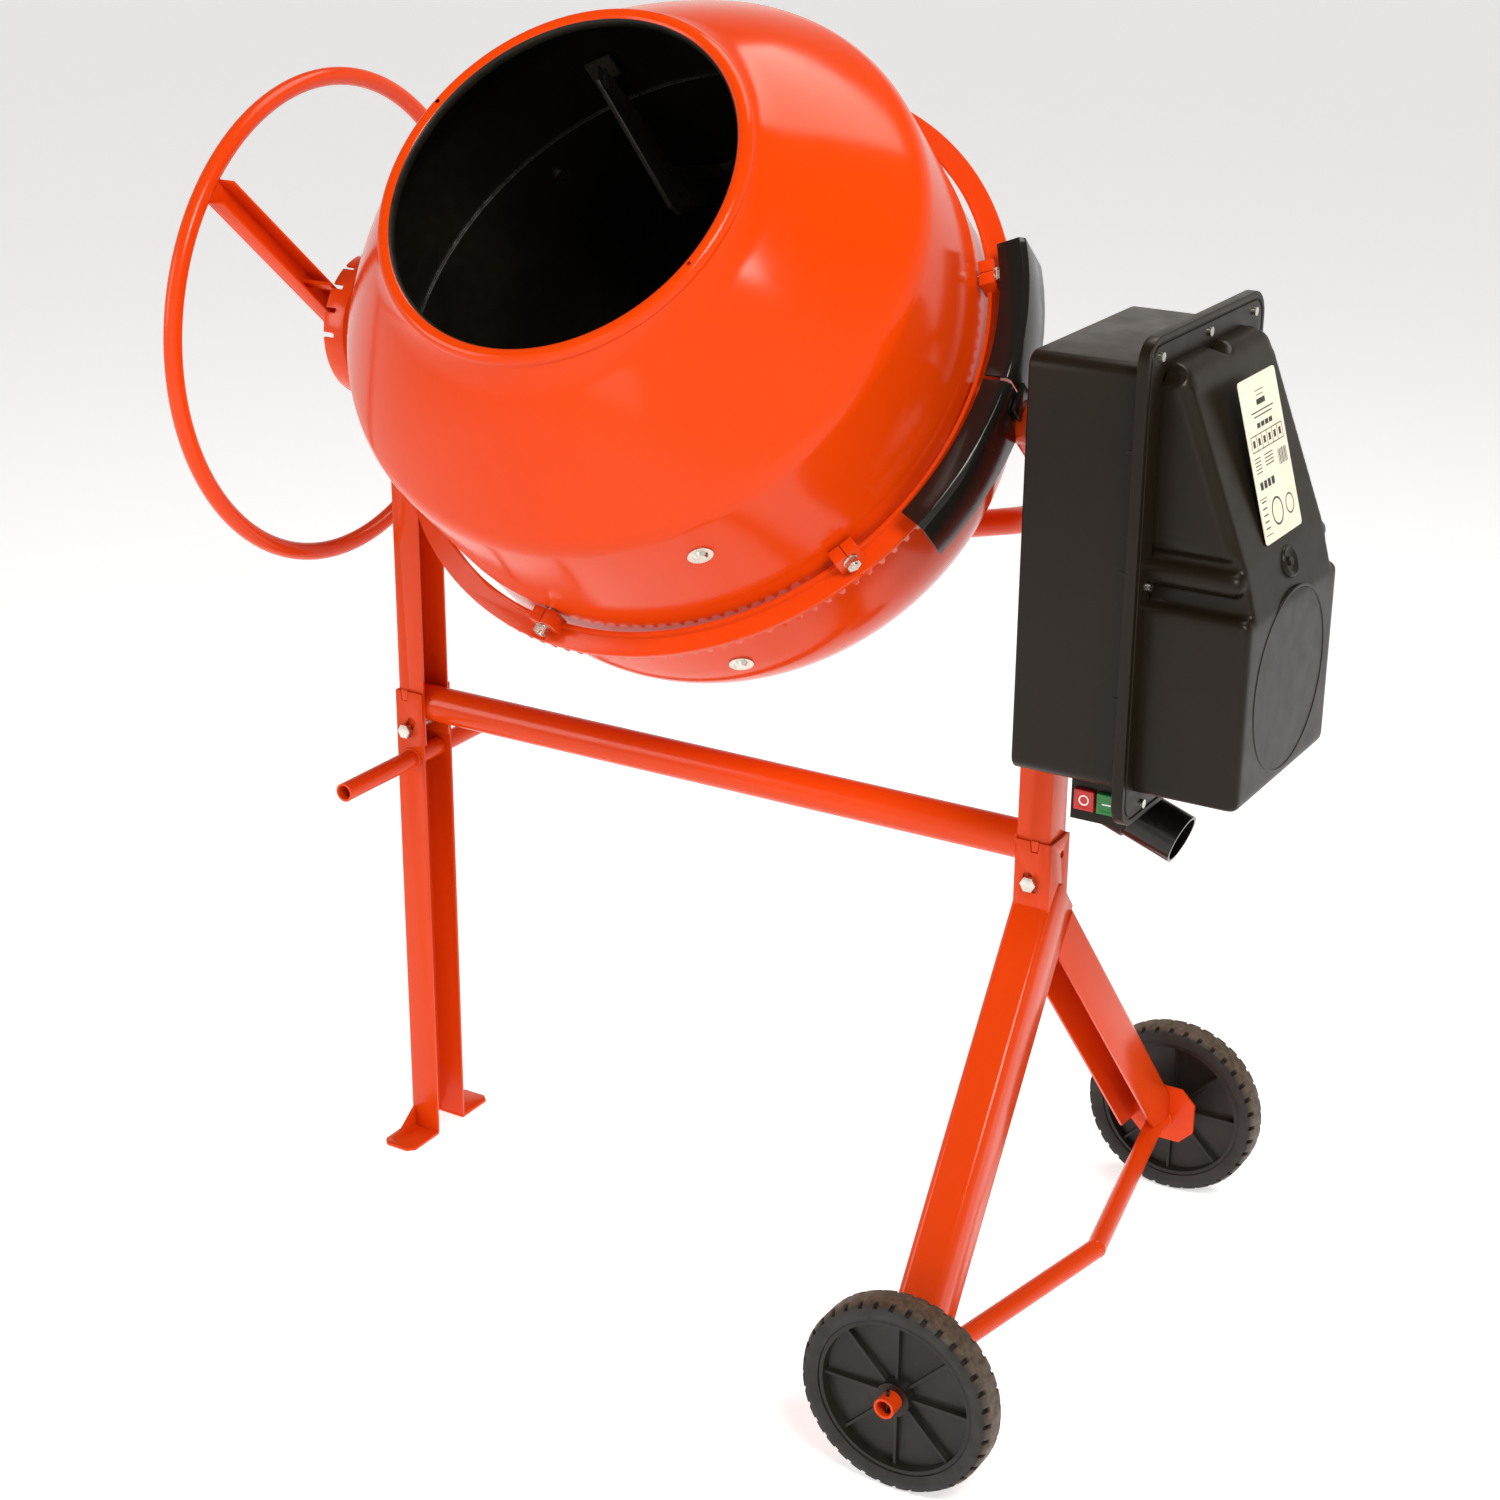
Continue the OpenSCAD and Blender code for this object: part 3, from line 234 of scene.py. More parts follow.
# %% Mix the finishes
drum_orange = finish("drum_orange", (0.69, 0.050, 0.001), (0.67, 0.047, 0.001),
                     0.15, 0.02, gloss=0.20, grain=420, bump=0.04)
frame_red = finish("frame_red", (0.70, 0.054, 0.003), (0.68, 0.051, 0.003),
                   0.20, 0.03, gloss=0.24, grain=420, bump=0.06)
drum_inside = finish("drum_inside", (0.007, 0.006, 0.004), (0.014, 0.011, 0.008),
                     0.46, 0.12, gloss=0.25, patch=9, grain=300, bump=0.12)
blade_black = finish("blade_black", (0.055, 0.048, 0.039), (0.068, 0.058, 0.047),
                     0.30, 0.06, gloss=0.6, grain=420, bump=0.08)
zinc_plate = finish("zinc_plate", (0.72, 0.70, 0.64), (0.58, 0.56, 0.50),
                    0.26, 0.10, metal=1.0, patch=60, grain=1500, bump=0.05)
bare_steel = finish("bare_steel", (0.56, 0.55, 0.53), (0.44, 0.43, 0.41),
                    0.30, 0.08, metal=1.0, patch=40, grain=1500, bump=0.06)
dark_oxide = finish("dark_oxide", (0.035, 0.030, 0.026), (0.022, 0.019, 0.016),
                    0.38, 0.08, metal=0.7, patch=60, grain=1200, bump=0.06)
cast_iron = finish("cast_iron", (0.16, 0.14, 0.12), (0.10, 0.09, 0.08),
                   0.55, 0.10, metal=0.6, patch=30, grain=520, bump=0.25)
cast_aluminium = finish("cast_aluminium", (0.62, 0.62, 0.61), (0.52, 0.52, 0.51),
                        0.42, 0.08, metal=1.0, patch=30, grain=700, bump=0.15)
bush_bronze = finish("bush_bronze", (0.55, 0.34, 0.12), (0.46, 0.27, 0.09),
                     0.34, 0.06, metal=1.0, patch=40)
housing_black = finish("housing_black", (0.009, 0.006, 0.0035), (0.012, 0.008, 0.0045),
                       0.34, 0.04, gloss=0.20, patch=5, grain=1300, bump=0.16)
gloss_black = finish("gloss_black", (0.008, 0.007, 0.006), (0.011, 0.010, 0.009),
                     0.16, 0.04, gloss=0.35, grain=300, bump=0.05)
belt_rubber = finish("belt_rubber", (0.012, 0.012, 0.012), (0.02, 0.02, 0.02),
                     0.6, 0.1, grain=900, bump=0.2)
tyre_rubber = finish("tyre_rubber", (0.010, 0.009, 0.008), (0.050, 0.034, 0.022),
                     0.62, 0.12, patch=38, grain=700, bump=0.35, amount=0.66)
wheel_black = finish("wheel_black", (0.010, 0.009, 0.008), (0.018, 0.015, 0.012),
                     0.36, 0.08, gloss=0.3, patch=20, grain=900, bump=0.12)
label_cream = finish("label_cream", (0.86, 0.82, 0.68), (0.83, 0.78, 0.63),
                     0.45, 0.05, patch=20, grain=1400, bump=0.03)
print_black = finish("print_black", (0.015, 0.014, 0.013), (0.03, 0.028, 0.025),
                     0.5, 0.05, patch=90)
stop_red = finish("stop_red", (0.52, 0.018, 0.014), (0.46, 0.015, 0.012),
                  0.30, 0.05, patch=60, grain=1500, bump=0.06)
start_green = finish("start_green", (0.010, 0.20, 0.035), (0.008, 0.17, 0.030),
                     0.30, 0.05, patch=60, grain=1500, bump=0.06)
mark_white = finish("mark_white", (0.85, 0.84, 0.80), (0.80, 0.79, 0.75),
                    0.4, 0.05, patch=80)
floor_white = finish("floor_white", (0.84, 0.86, 0.90), (0.83, 0.85, 0.89),
                     0.7, 0.05, patch=0.6, grain=30, bump=0.0)
FLOOR_GLOW = 0.58
# A glow of its own keeps the far floor nearly as pale as the lit middle.
floor_shader = floor_white.node_tree.nodes["Principled BSDF"]
floor_shader.inputs["Emission Color"].default_value = (1, 1, 1, 1)
floor_shader.inputs["Emission Strength"].default_value = FLOOR_GLOW
floor.data.materials.append(floor_white)
print("finishes mixed:", len(bpy.data.materials))

# %% [markdown]
# ## Finishes on the CAD parts
# A part whose CAD shape is already right keeps it. Only its material slot
# changes. The list names each finish once, with the parts that wear it.

# %% Dress the CAD parts
gear_names = sorted(name for name in nodes if name.startswith("gear_segment"))
wears = {
    "frame_paint": (frame_red, [
        "left_lower_leg", "foot_plates", "left_upper_leg", "lifting_handle",
        "crossbar", "right_upper_post", "right_lower_post", "near_wheel_leg",
        "far_wheel_leg", "axle_brackets", "axle", "locking_disc", "yoke_tubes",
        "yoke_bosses", "yoke_hub", "handwheel", "handwheel_hub"] + gear_names),
    "drum_paint": (drum_orange, ["drum_upper", "drum_lower", "drum_hub"]),
    "blade_black": (blade_black, ["mixing_blades"]),
    "dark_zinc": (dark_oxide, ["axle_retainers"]),
    "zinc": (zinc_plate, ["frame_bolts", "housing_screws",
                          "drum_bolts", "ring_bolts"]),
    "steel": (bare_steel, ["motor_bracket", "left_trunnion", "right_trunnion",
                           "spindle", "drive_shaft", "motor_rotor"]),
    "cast_iron": (cast_iron, ["pinion"]),
    "bearing": (frame_red, ["left_bearing", "right_bearing"]),
    "aluminium": (cast_aluminium, ["motor", "drive_pulley"]),
    "bronze": (bush_bronze, ["shaft_bushes"]),
    "housing_plastic": (housing_black, ["housing_box", "housing_rim",
                                        "housing_cover", "switch_box"]),
    "gloss_black": (gloss_black, ["plug_inlet", "guard_upper", "guard_lower",
                                  "guard_clip"]),
    "belt_rubber": (belt_rubber, ["drive_belt"]),
    "label": (label_cream, ["rating_plate"]),
    "red_plastic": (stop_red, ["stop_button"]),
    "green_plastic": (start_green, ["start_button"]),
    "tyre_rubber": (tyre_rubber, ["near_tyre", "far_tyre"]),
    "wheel_plastic": (wheel_black, ["near_wheel_disc", "far_wheel_disc"]),
}
finish_of = {}
for material, members in wears.values():
    for name in members:
        finish_of[name] = material
        for spot in range(len(nodes[name].data.materials)):
            nodes[name].data.materials[spot] = material
missing = sorted(set(nodes) - set(finish_of))
print("dressed", len(finish_of), "parts, without a finish:", missing)

# %% [markdown]
# ## Tools for shaping
# Pieces are modelled as by hand: a primitive goes down at its size and place,
# then edit-mode operators shape it. Operators act on all that is selected, so
# everything is deselected first, and faces or edges are picked by a test on
# their place or their normal.


# %% Start, pick and settle a piece
def deselect():
    """Leaves edit mode and clears the selection."""
    if bpy.context.object and bpy.context.object.mode != "OBJECT":
        bpy.ops.object.mode_set(mode="OBJECT")
    bpy.ops.object.select_all(action="DESELECT")


def block(name, low, high):
    """A box between two corners, in edit mode with nothing picked."""
    deselect()
    low, high = Vector(low), Vector(high)
    bpy.ops.mesh.primitive_cube_add(size=1, location=(low + high) / 2)
    piece = bpy.context.object
    piece.name = name
    piece.scale = high - low
    bpy.ops.object.transform_apply(location=True, scale=True)
    bpy.ops.object.mode_set(mode="EDIT")
    bpy.ops.mesh.select_all(action="DESELECT")
    return piece


def pick(piece, kind, test):
    """In edit mode, picks the edges or faces whose centre passes a test."""
    bpy.ops.mesh.select_all(action="DESELECT")
    bpy.ops.mesh.select_mode(type=kind)
    mesh = bmesh.from_edit_mesh(piece.data)
    if kind == "FACE":
        for face in mesh.faces:
            face.select_set(test(face.calc_center_median(), face.normal))
    else:
        for edge in mesh.edges:
            ends = [v.co for v in edge.verts]
            edge.select_set(test((ends[0] + ends[1]) / 2, ends[1] - ends[0]))
    bmesh.update_edit_mesh(piece.data)


def rounded(width, segments=3):
    """Bevels the picked edges."""
    bpy.ops.mesh.bevel(offset=width, offset_type="OFFSET", segments=segments,
                       affect="EDGES", profile=0.5)


def apply_modifier(piece, kind, **settings):
    """Adds a modifier with these settings and applies it."""
    deselect()
    piece.select_set(True)
    bpy.context.view_layer.objects.active = piece
    modifier = piece.modifiers.new(kind.lower(), kind)
    for key, value in settings.items():
        setattr(modifier, key, value)
    bpy.ops.object.modifier_apply(modifier=modifier.name)


def joined(name, pieces):
    """Joins pieces into the first and names it."""
    deselect()
    for piece in pieces:
        piece.select_set(True)
    bpy.context.view_layer.objects.active = pieces[0]
    bpy.ops.object.join()
    pieces[0].name = name
    return pieces[0]


def settle(piece, body, slot, *materials, smooth=40, stands_for=()):
    """Applies a piece's place, smooths it, and gives it finishes and a body. The slot
    is not used.
    """
    deselect()
    piece.select_set(True)
    bpy.context.view_layer.objects.active = piece
    bpy.ops.object.transform_apply(location=True, rotation=True, scale=True)
    bpy.ops.object.shade_smooth_by_angle(angle=math.radians(smooth))
    if materials:
        piece.data.materials.clear()
        for material in materials:
            piece.data.materials.append(material)
    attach(piece, body)
    if stands_for:
        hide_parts(*stands_for)
    return piece


body_of = {name: body for body, members in
           frame["record"]["behaviour"]["bodies"].items() for name in members}

# %% [markdown]
# ## Rounded edges on sheet and cast parts
# Folded sheet, cast bearings and plastic shells never have knife edges: a thin
# highlight runs along every corner. A bevel on a copy of the CAD part gives
# that line. The copy's loose triangles are merged first and its flat faces
# made whole, so that only real corners are rounded.


# %% Round the edges of a CAD part
def softened(node, width, material, slot):
    """A copy of a CAD part with rounded edges, standing for it."""
    deselect()
    blank = nodes[node]
    blank.select_set(True)
    bpy.context.view_layer.objects.active = blank
    bpy.ops.object.duplicate()
    piece = bpy.context.object
    piece.name = node + "_soft"
    piece.parent = None
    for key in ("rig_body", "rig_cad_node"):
        if key in piece:
            del piece[key]
    bpy.ops.mesh.customdata_custom_splitnormals_clear()
    bpy.ops.object.mode_set(mode="EDIT")
    bpy.ops.mesh.select_all(action="SELECT")
    bpy.ops.mesh.remove_doubles(threshold=0.00002)
    bpy.ops.mesh.dissolve_limited(angle_limit=math.radians(1.5))
    bpy.ops.object.mode_set(mode="OBJECT")
    apply_modifier(piece, "BEVEL", width=width * MM, segments=2,
                   limit_method="ANGLE", angle_limit=math.radians(38),
                   use_clamp_overlap=True)
    return settle(piece, body_of[node], slot, material, smooth=38,
                  stands_for=[node])


edge_width = {
    "left_lower_leg": 0.9, "left_upper_leg": 0.8, "foot_plates": 1.2,
    "right_upper_post": 1.6, "right_lower_post": 0.9, "near_wheel_leg": 1.0,
    "far_wheel_leg": 1.0, "axle_brackets": 0.9, "locking_disc": 0.6,
    "left_bearing": 1.2, "right_bearing": 1.2, "handwheel_hub": 0.8,
    "guard_upper": 0.9, "guard_lower": 0.9, "guard_clip": 0.6,
    "mixing_blades": 0.9, "switch_box": 1.6, "motor_bracket": 0.6,
    "frame_bolts": 0.4, "near_wheel_disc": 0.7, "far_wheel_disc": 0.7,
    "pinion": 0.3}
edge_width.update({name: 0.5 for name in gear_names})
slot_of = {name: slot for slot, (_, members) in wears.items()
           for name in members}
slot_of.update({"left_bearing": "cast_iron", "right_bearing": "cast_iron"})
for name, width in edge_width.items():
    softened(name, width, finish_of[name], slot_of[name])
print("edges rounded on", len(edge_width), "parts")

# %% [markdown]
# ## The drum's two halves
# Each half is spun from sheet steel: one outline turned round the drum's
# axis. Turning a finished outline by hand means extruding a ring of edges
# along the axis and resizing it, again and again, which keeps every ring
# exact. The wall is part of the outline, which runs up the outside, round
# the rolled mouth and down the inside, so the sheet closes on itself.


# %% Turn an outline ring by ring
def turned(name, outline, sides=96):
    """A shape turned about Z from (radius, height) points, closed on itself."""
    deselect()
    radius, height = outline[0]
    bpy.ops.mesh.primitive_circle_add(vertices=sides, radius=radius,
                                      location=(0, 0, height))
    piece = bpy.context.object
    piece.name = name
    bpy.ops.object.transform_apply(location=True)
    bpy.ops.object.mode_set(mode="EDIT")
    bpy.ops.mesh.select_mode(type="EDGE")
    bpy.ops.mesh.select_all(action="SELECT")
    for next_radius, next_height in outline[1:] + outline[:1]:
        bpy.ops.mesh.extrude_edges_move(TRANSFORM_OT_translate={
            "value": (0, 0, next_height - height)})
        factor = next_radius / radius
        bpy.ops.transform.resize(value=(factor, factor, 1),
                                 center_override=(0, 0, next_height))
        radius, height = next_radius, next_height
    bpy.ops.mesh.select_all(action="SELECT")
    bpy.ops.mesh.remove_doubles(threshold=0.000005)
    bpy.ops.mesh.normals_make_consistent(inside=False)
    bpy.ops.object.mode_set(mode="OBJECT")
    return piece


def arc(centre, radius, start, end, steps):
    """Points on an arc, from start to end degrees."""
    return [(centre[0] + radius * math.cos(math.radians(a)),
             centre[1] + radius * math.sin(math.radians(a)))
            for a in (start + (end - start) * k / steps for k in range(steps + 1))]


def lean(piece):
    """Puts a piece made about Z onto the drum's leaning axis."""
    piece.rotation_euler = Euler((drum_lean, 0, 0))
    piece.location = tilt_centre
    deselect()
    piece.select_set(True)
    bpy.context.view_layer.objects.active = piece
    bpy.ops.object.transform_apply(location=True, rotation=True)
    return piece


# %% [markdown]
# The upper half has a short straight band, a soft shoulder, a slightly
# crowned cone and a rolled bead. Its sizes are the drum's driving sizes. The
# bead is a full round, so the mouth reads as a thick lip from every side.

# %% Upper drum half
DRUM_R, WALL, SEAM_H = 0.300, 0.002, 0.066
SHOULDER_H, SHOULDER_R = 0.188, 0.046
MOUTH_H, MOUTH_R, BEAD_R = 0.348, 0.187, 0.008
cone_angle = math.degrees(math.atan2(MOUTH_H - BEAD_R - SHOULDER_H,
                                     DRUM_R - MOUTH_R + BEAD_R))
bead_centre = (MOUTH_R - BEAD_R, MOUTH_H - BEAD_R)


def upper_side(inset):
    """The upper half's side from its lower edge to the bead, inset by a wall."""
    shoulder = arc((DRUM_R - SHOULDER_R, SHOULDER_H), SHOULDER_R - inset,
                   0, 82 - cone_angle, 12)
    start, end = Vector(shoulder[-1]), Vector((
        bead_centre[0] + 0.001 - inset * 0.6, bead_centre[1] - 0.004 - inset * 0.6))
    across = Vector((end.y - start.y, start.x - end.x)).normalized()
    crown = [tuple(start + (end - start) * f + across * 0.005 * 4 * f * (1 - f))
             for f in (k / 10 for k in range(1, 11))]
    band = [(DRUM_R - inset, SEAM_H + (SHOULDER_H - SEAM_H) * k / 3)
            for k in range(3)]
    return band + shoulder + crown


bead = arc(bead_centre, BEAD_R, -20, 260, 22)
upper_outline = (upper_side(0)[:-1] + bead + upper_side(WALL)[::-1][1:])
drum_upper = turned("drum_upper_shell", upper_outline, 192)
print("upper half:", len(drum_upper.data.polygons), "faces")

# %% [markdown]
# Two small drain holes are drilled in the bead. A drilled hole is a cylinder
# taken away from the solid by a Boolean modifier.


# %% Drill holes
def drilled(piece, cutters):
    """Takes the cutters away from a piece."""
    tool = joined("cutter", cutters)
    apply_modifier(piece, "BOOLEAN", operation="DIFFERENCE", object=tool,
                   solver="EXACT")
    bpy.data.objects.remove(tool)


def rod(name, radius, start, end, sides=24):
    """A solid rod between two points."""
    deselect()
    start, end = Vector(start), Vector(end)
    run = end - start
    bpy.ops.mesh.primitive_cylinder_add(
        vertices=sides, radius=radius, depth=run.length, location=(start + end) / 2,
        rotation=run.to_track_quat("Z", "Y").to_euler())
    piece = bpy.context.object
    piece.name = name
    bpy.ops.object.transform_apply(location=True, rotation=True)
    return piece


holes = []
for turn in (-22, 158):
    side = Vector((math.cos(math.radians(turn)), math.sin(math.radians(turn)), 0))
    spot = side * bead_centre[0] + Vector((0, 0, bead_centre[1] + 0.004))
    holes.append(rod("hole", 0.0022, spot, spot + Vector((0, 0, 0.02))))
drilled(drum_upper, holes)


def inner_dark(piece, heart):
    """Gives slot 1 to the faces that look towards the drum's heart."""
    for face in piece.data.polygons:
        if face.normal.dot(face.center - Vector(heart)) < 0:
            face.material_index = 1


drum_upper.data.materials.clear()
drum_upper.data.materials.append(drum_orange)
drum_upper.data.materials.append(drum_inside)
inner_dark(drum_upper, (0, 0, 0.16))
lean(drum_upper)
settle(drum_upper, "drum", "drum_paint", smooth=32, stands_for=["drum_upper"])
print("upper half settled")

# %% [markdown]
# The bowl stands inside the upper half. Its bare cut edge shows as a thin
# bright ring inside the mouth, where the concrete would wear it, so the top
# faces of the wall keep a metal finish.

# %% Lower drum half
BOWL_R, BOWL_SIDE, BOWL_DEPTH, BOWL_FLAT = 0.2977, -0.062, -0.262, 0.096
BOWL_TOP = SEAM_H + 0.024


def bowl_side(inset):
    """The bowl's side from its top edge to its flat bottom."""
    band = [(BOWL_R - inset, BOWL_TOP + (BOWL_SIDE - BOWL_TOP) * k / 4)
            for k in range(5)]
    curve = [((BOWL_R - inset) * math.cos(math.radians(a)),
              BOWL_SIDE + (BOWL_DEPTH + inset - BOWL_SIDE) * math.sin(math.radians(a)))
             for a in (73.8 * k / 24 for k in range(1, 25))]
    return band + curve + [(BOWL_FLAT - 0.010, BOWL_DEPTH + inset),
                           (0.0225, BOWL_DEPTH + inset)]


bowl_outline = bowl_side(0) + bowl_side(WALL)[::-1]
drum_lower = turned("drum_lower_bowl", bowl_outline, 192)
drum_lower.data.materials.clear()
for material in (drum_orange, drum_inside, bare_steel):
    drum_lower.data.materials.append(material)
inner_dark(drum_lower, (0, 0, BOWL_TOP - 0.02))
for face in drum_lower.data.polygons:
    if face.center.z > BOWL_TOP - 0.0001:
        face.material_index = 2
    elif face.center.z > BOWL_SIDE and face.normal.xy.dot(face.center.xy) > 0:
        face.material_index = 0
lean(drum_lower)
settle(drum_lower, "drum", "drum_paint", smooth=32, stands_for=["drum_lower"])
print("bowl settled:", len(drum_lower.data.polygons), "faces")

# %% [markdown]
# ## Motor housing: the box and its rim
# The box and the cover are moulded plastic, joined by a thick rim with
# screws. The box is a block with wide corner rounds and a soft end. The rim
# is a rounded slab; a smaller slab cuts its opening, and the difference of
# two more cuts the fine groove round its front, where the seal sits.

# %% Housing box
box_low, box_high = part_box("housing_box")
housing_box = block("housing_box_shell", box_low, box_high)
pick(housing_box, "EDGE", lambda centre, run: abs(run.x) > 0.9 * run.length)
rounded(14 * MM, 6)
pick(housing_box, "EDGE", lambda centre, run: centre.x < box_low.x + MM)
rounded(2.5 * MM, 3)
wedges = []
WEDGE_L, WEDGE_T, WEDGE_PROUD = 13 * MM, 4 * MM, 2.6 * MM
for side in (-1, 1):
    face_y = box_low.y if side < 0 else box_high.y
    for share in (0.22, 0.52, 0.80):
        height = box_low.z + share * (box_high.z - box_low.z)
        wedge = block("wedge", (box_high.x - WEDGE_L, face_y - WEDGE_PROUD, height),
                      (box_high.x, face_y + WEDGE_PROUD, height + WEDGE_T))
        pick(wedge, "EDGE", lambda centre, run: centre.x < box_high.x - 0.9 * WEDGE_L
             and abs(run.z) > 0.5 * run.length)
        bpy.ops.transform.resize(value=(1, 0.05, 1), center_override=(0, face_y, 0))
        wedges.append(wedge)
housing_box = joined("housing_box_shell", [housing_box] + wedges)
settle(housing_box, "frame", "housing_plastic", housing_black, smooth=35,
       stands_for=["housing_box"])

# %% Housing rim
rim_low, rim_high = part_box("housing_rim")


def slab(name, low, high, corner):
    """A slab facing the front, with rounded corners."""
    piece = block(name, low, high)
    pick(piece, "EDGE", lambda centre, run: abs(run.x) > 0.9 * run.length)
    rounded(corner, 8)
    deselect()
    return piece


def rim_slab(inset, start_x, end_x, corner):
    """A slab of the rim's outline, inset all round, between two depths."""
    return slab("housing_rim_band", (start_x, rim_low.y + inset, rim_low.z + inset),
                (end_x, rim_high.y - inset, rim_high.z - inset), corner)


rim = rim_slab(0, rim_low.x, rim_high.x, 26 * MM)
OPENING = 34 * MM
opening = rim_slab(OPENING, rim_low.x - MM, rim_high.x + MM, 10 * MM)
groove = rim_slab(6.0 * MM, rim_high.x - 1.8 * MM, rim_high.x + MM, 20 * MM)
island = rim_slab(8.2 * MM, rim_high.x - 2.5 * MM, rim_high.x + 2 * MM, 18 * MM)
apply_modifier(groove, "BOOLEAN", operation="DIFFERENCE", object=island,
               solver="EXACT")
bpy.data.objects.remove(island)
for cutter in (opening, groove):
    apply_modifier(rim, "BOOLEAN", operation="DIFFERENCE", object=cutter,
                   solver="EXACT")
    bpy.data.objects.remove(cutter)
apply_modifier(rim, "BEVEL", width=2.2 * MM, segments=4, limit_method="ANGLE",
               angle_limit=math.radians(60), use_clamp_overlap=True)
settle(rim, "frame", "housing_plastic", housing_black, smooth=40,
       stands_for=["housing_rim"])
print("housing box and rim:", len(housing_box.data.polygons), len(rim.data.polygons))

# %% [markdown]
# ## Motor housing: the cover
# The cover is one moulding: a wide lower part over the motor, a half-round
# rib with a groove on each side at the waist, and a narrower upper part that
# slopes back. Blow moulding leaves no sharp corner anywhere. So plain lumps
# are cut to shape by planes, then fused by a voxel remesh and smoothed, which
# melts every meeting line into a fillet, as in the mould.

# %% Cover lumps
cover_low, cover_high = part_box("housing_cover")
cover_mid_y = middle("housing_cover").y
FOOT_X, FRONT_X = cover_low.x, cover_high.x - 0.8 * MM
WAIST_H = cover_low.z + 0.52 * (cover_high.z - cover_low.z)
HALF_LOW, HALF_CORE, HALF_TOP = 113 * MM, 97 * MM, 103 * MM
RIB_H, RIB_R = WAIST_H + 4 * MM, 11 * MM
# The front's bends, from the foot up: (x, z) where the face turns back
bend_low = Vector((cover_high.x, 0, WAIST_H - 20 * MM))
bend_mid = Vector((cover_high.x - 14 * MM, 0, WAIST_H + 16 * MM))
bend_top = Vector((cover_high.x - 58 * MM, 0, cover_high.z - 14 * MM))


def lump(half_width, low_z, high_z, soft):
    """A piece of the cover between two heights, cut to the front's bends."""
    piece = block("lump", (FOOT_X - 14 * MM, cover_mid_y - half_width, low_z),
                  (FRONT_X, cover_mid_y + half_width, high_z))
    for start, end in ((bend_low, bend_mid), (bend_mid, bend_top)):
        rise = end - start
        bpy.ops.mesh.select_all(action="SELECT")
        bpy.ops.mesh.bisect(plane_co=start, plane_no=(rise.z, 0, -rise.x),
                            use_fill=True, clear_outer=True)
    deselect()
    apply_modifier(piece, "BEVEL", width=soft, segments=4, limit_method="ANGLE",
                   angle_limit=math.radians(50), use_clamp_overlap=True)
    return piece


lumps = [lump(HALF_LOW, cover_low.z, WAIST_H - 25 * MM, 9 * MM),
         lump(HALF_CORE, cover_low.z + 20 * MM, cover_high.z - 20 * MM, 2 * MM),
         lump(HALF_TOP, WAIST_H + 19 * MM, cover_high.z, 14 * MM)]
for side in (-1, 1):
    rib_y = cover_mid_y + side * (HALF_LOW - RIB_R - 2 * MM)
    rib_end = (FRONT_X - 22 * MM, rib_y, RIB_H)
    lumps.append(rod("rib", RIB_R, (FOOT_X - 12 * MM, rib_y, RIB_H), rib_end, 32))
    bpy.ops.mesh.primitive_uv_sphere_add(segments=32, ring_count=16,
                                         radius=RIB_R, location=rib_end)
    lumps.append(bpy.context.object)
cover = joined("housing_cover_shell", lumps)
print("cover lumps joined:", len(cover.data.polygons), "faces")


# %% Fuse, dent and smooth the cover
def fused(piece, voxel):
    """Remeshes overlapping solids into one skin."""
    deselect()
    piece.select_set(True)
    bpy.context.view_layer.objects.active = piece
    piece.data.remesh_voxel_size = voxel
    bpy.ops.object.voxel_remesh()


def dent(name, radius, start, end):
    """A round-ended cutter between two points."""
    shaft = rod(name, radius, start, end, 40)
    bpy.ops.mesh.primitive_uv_sphere_add(segments=40, ring_count=20,
                                         radius=radius, location=end)
    tip = bpy.context.object
    shaft = joined(name, [shaft, tip])
    fused(shaft, 3 * MM)
    return shaft


VOXEL = 2.0 * MM
DENT_R = 24 * MM
screw_h = cover_high.z + 2 * MM
fused(cover, VOXEL)
dents = [dent("valley", 18 * MM, (FOOT_X - 20 * MM, cover_mid_y, screw_h + 2 * MM),
              (FOOT_X + 26 * MM, cover_mid_y, screw_h + 10 * MM))]
for side in (-1, 1):
    corner_y = cover_mid_y + side * 110 * MM
    dents.append(dent("corner", DENT_R, (FOOT_X - 20 * MM, corner_y, screw_h - 2 * MM),
                      (FOOT_X + 18 * MM, corner_y + side * 4 * MM, screw_h + 4 * MM)))
for cutter in dents:
    apply_modifier(cover, "BOOLEAN", operation="DIFFERENCE", object=cutter,
                   solver="EXACT")
    bpy.data.objects.remove(cutter)
fused(cover, VOXEL)
apply_modifier(cover, "SMOOTH", factor=0.5, iterations=18)
bpy.ops.object.mode_set(mode="EDIT")
bpy.ops.mesh.select_all(action="SELECT")
bpy.ops.mesh.bisect(plane_co=(FOOT_X - 1.5 * MM, 0, 0), plane_no=(1, 0, 0),
                    use_fill=True, clear_inner=True)
deselect()
settle(cover, "frame", "housing_plastic", housing_black, smooth=60,
       stands_for=["housing_cover"])
print("cover:", len(cover.data.polygons), "faces")

# %% [markdown]
# A fine raised circle on the lower face follows the motor behind it, and a
# small round seat above it holds the cover's centre bolt.

# %% Circle and bolt seat
motor_h = joints["motor_spin"]["pos_m"][2]


def face_on(piece, place, facing):
    """Turns a piece made about Z to face a way, and puts it in its place."""
    piece.matrix_world = (Matrix.Translation(Vector(place))
                          @ Vector(facing).to_track_quat("Z", "Y").to_matrix().to_4x4())
    return piece


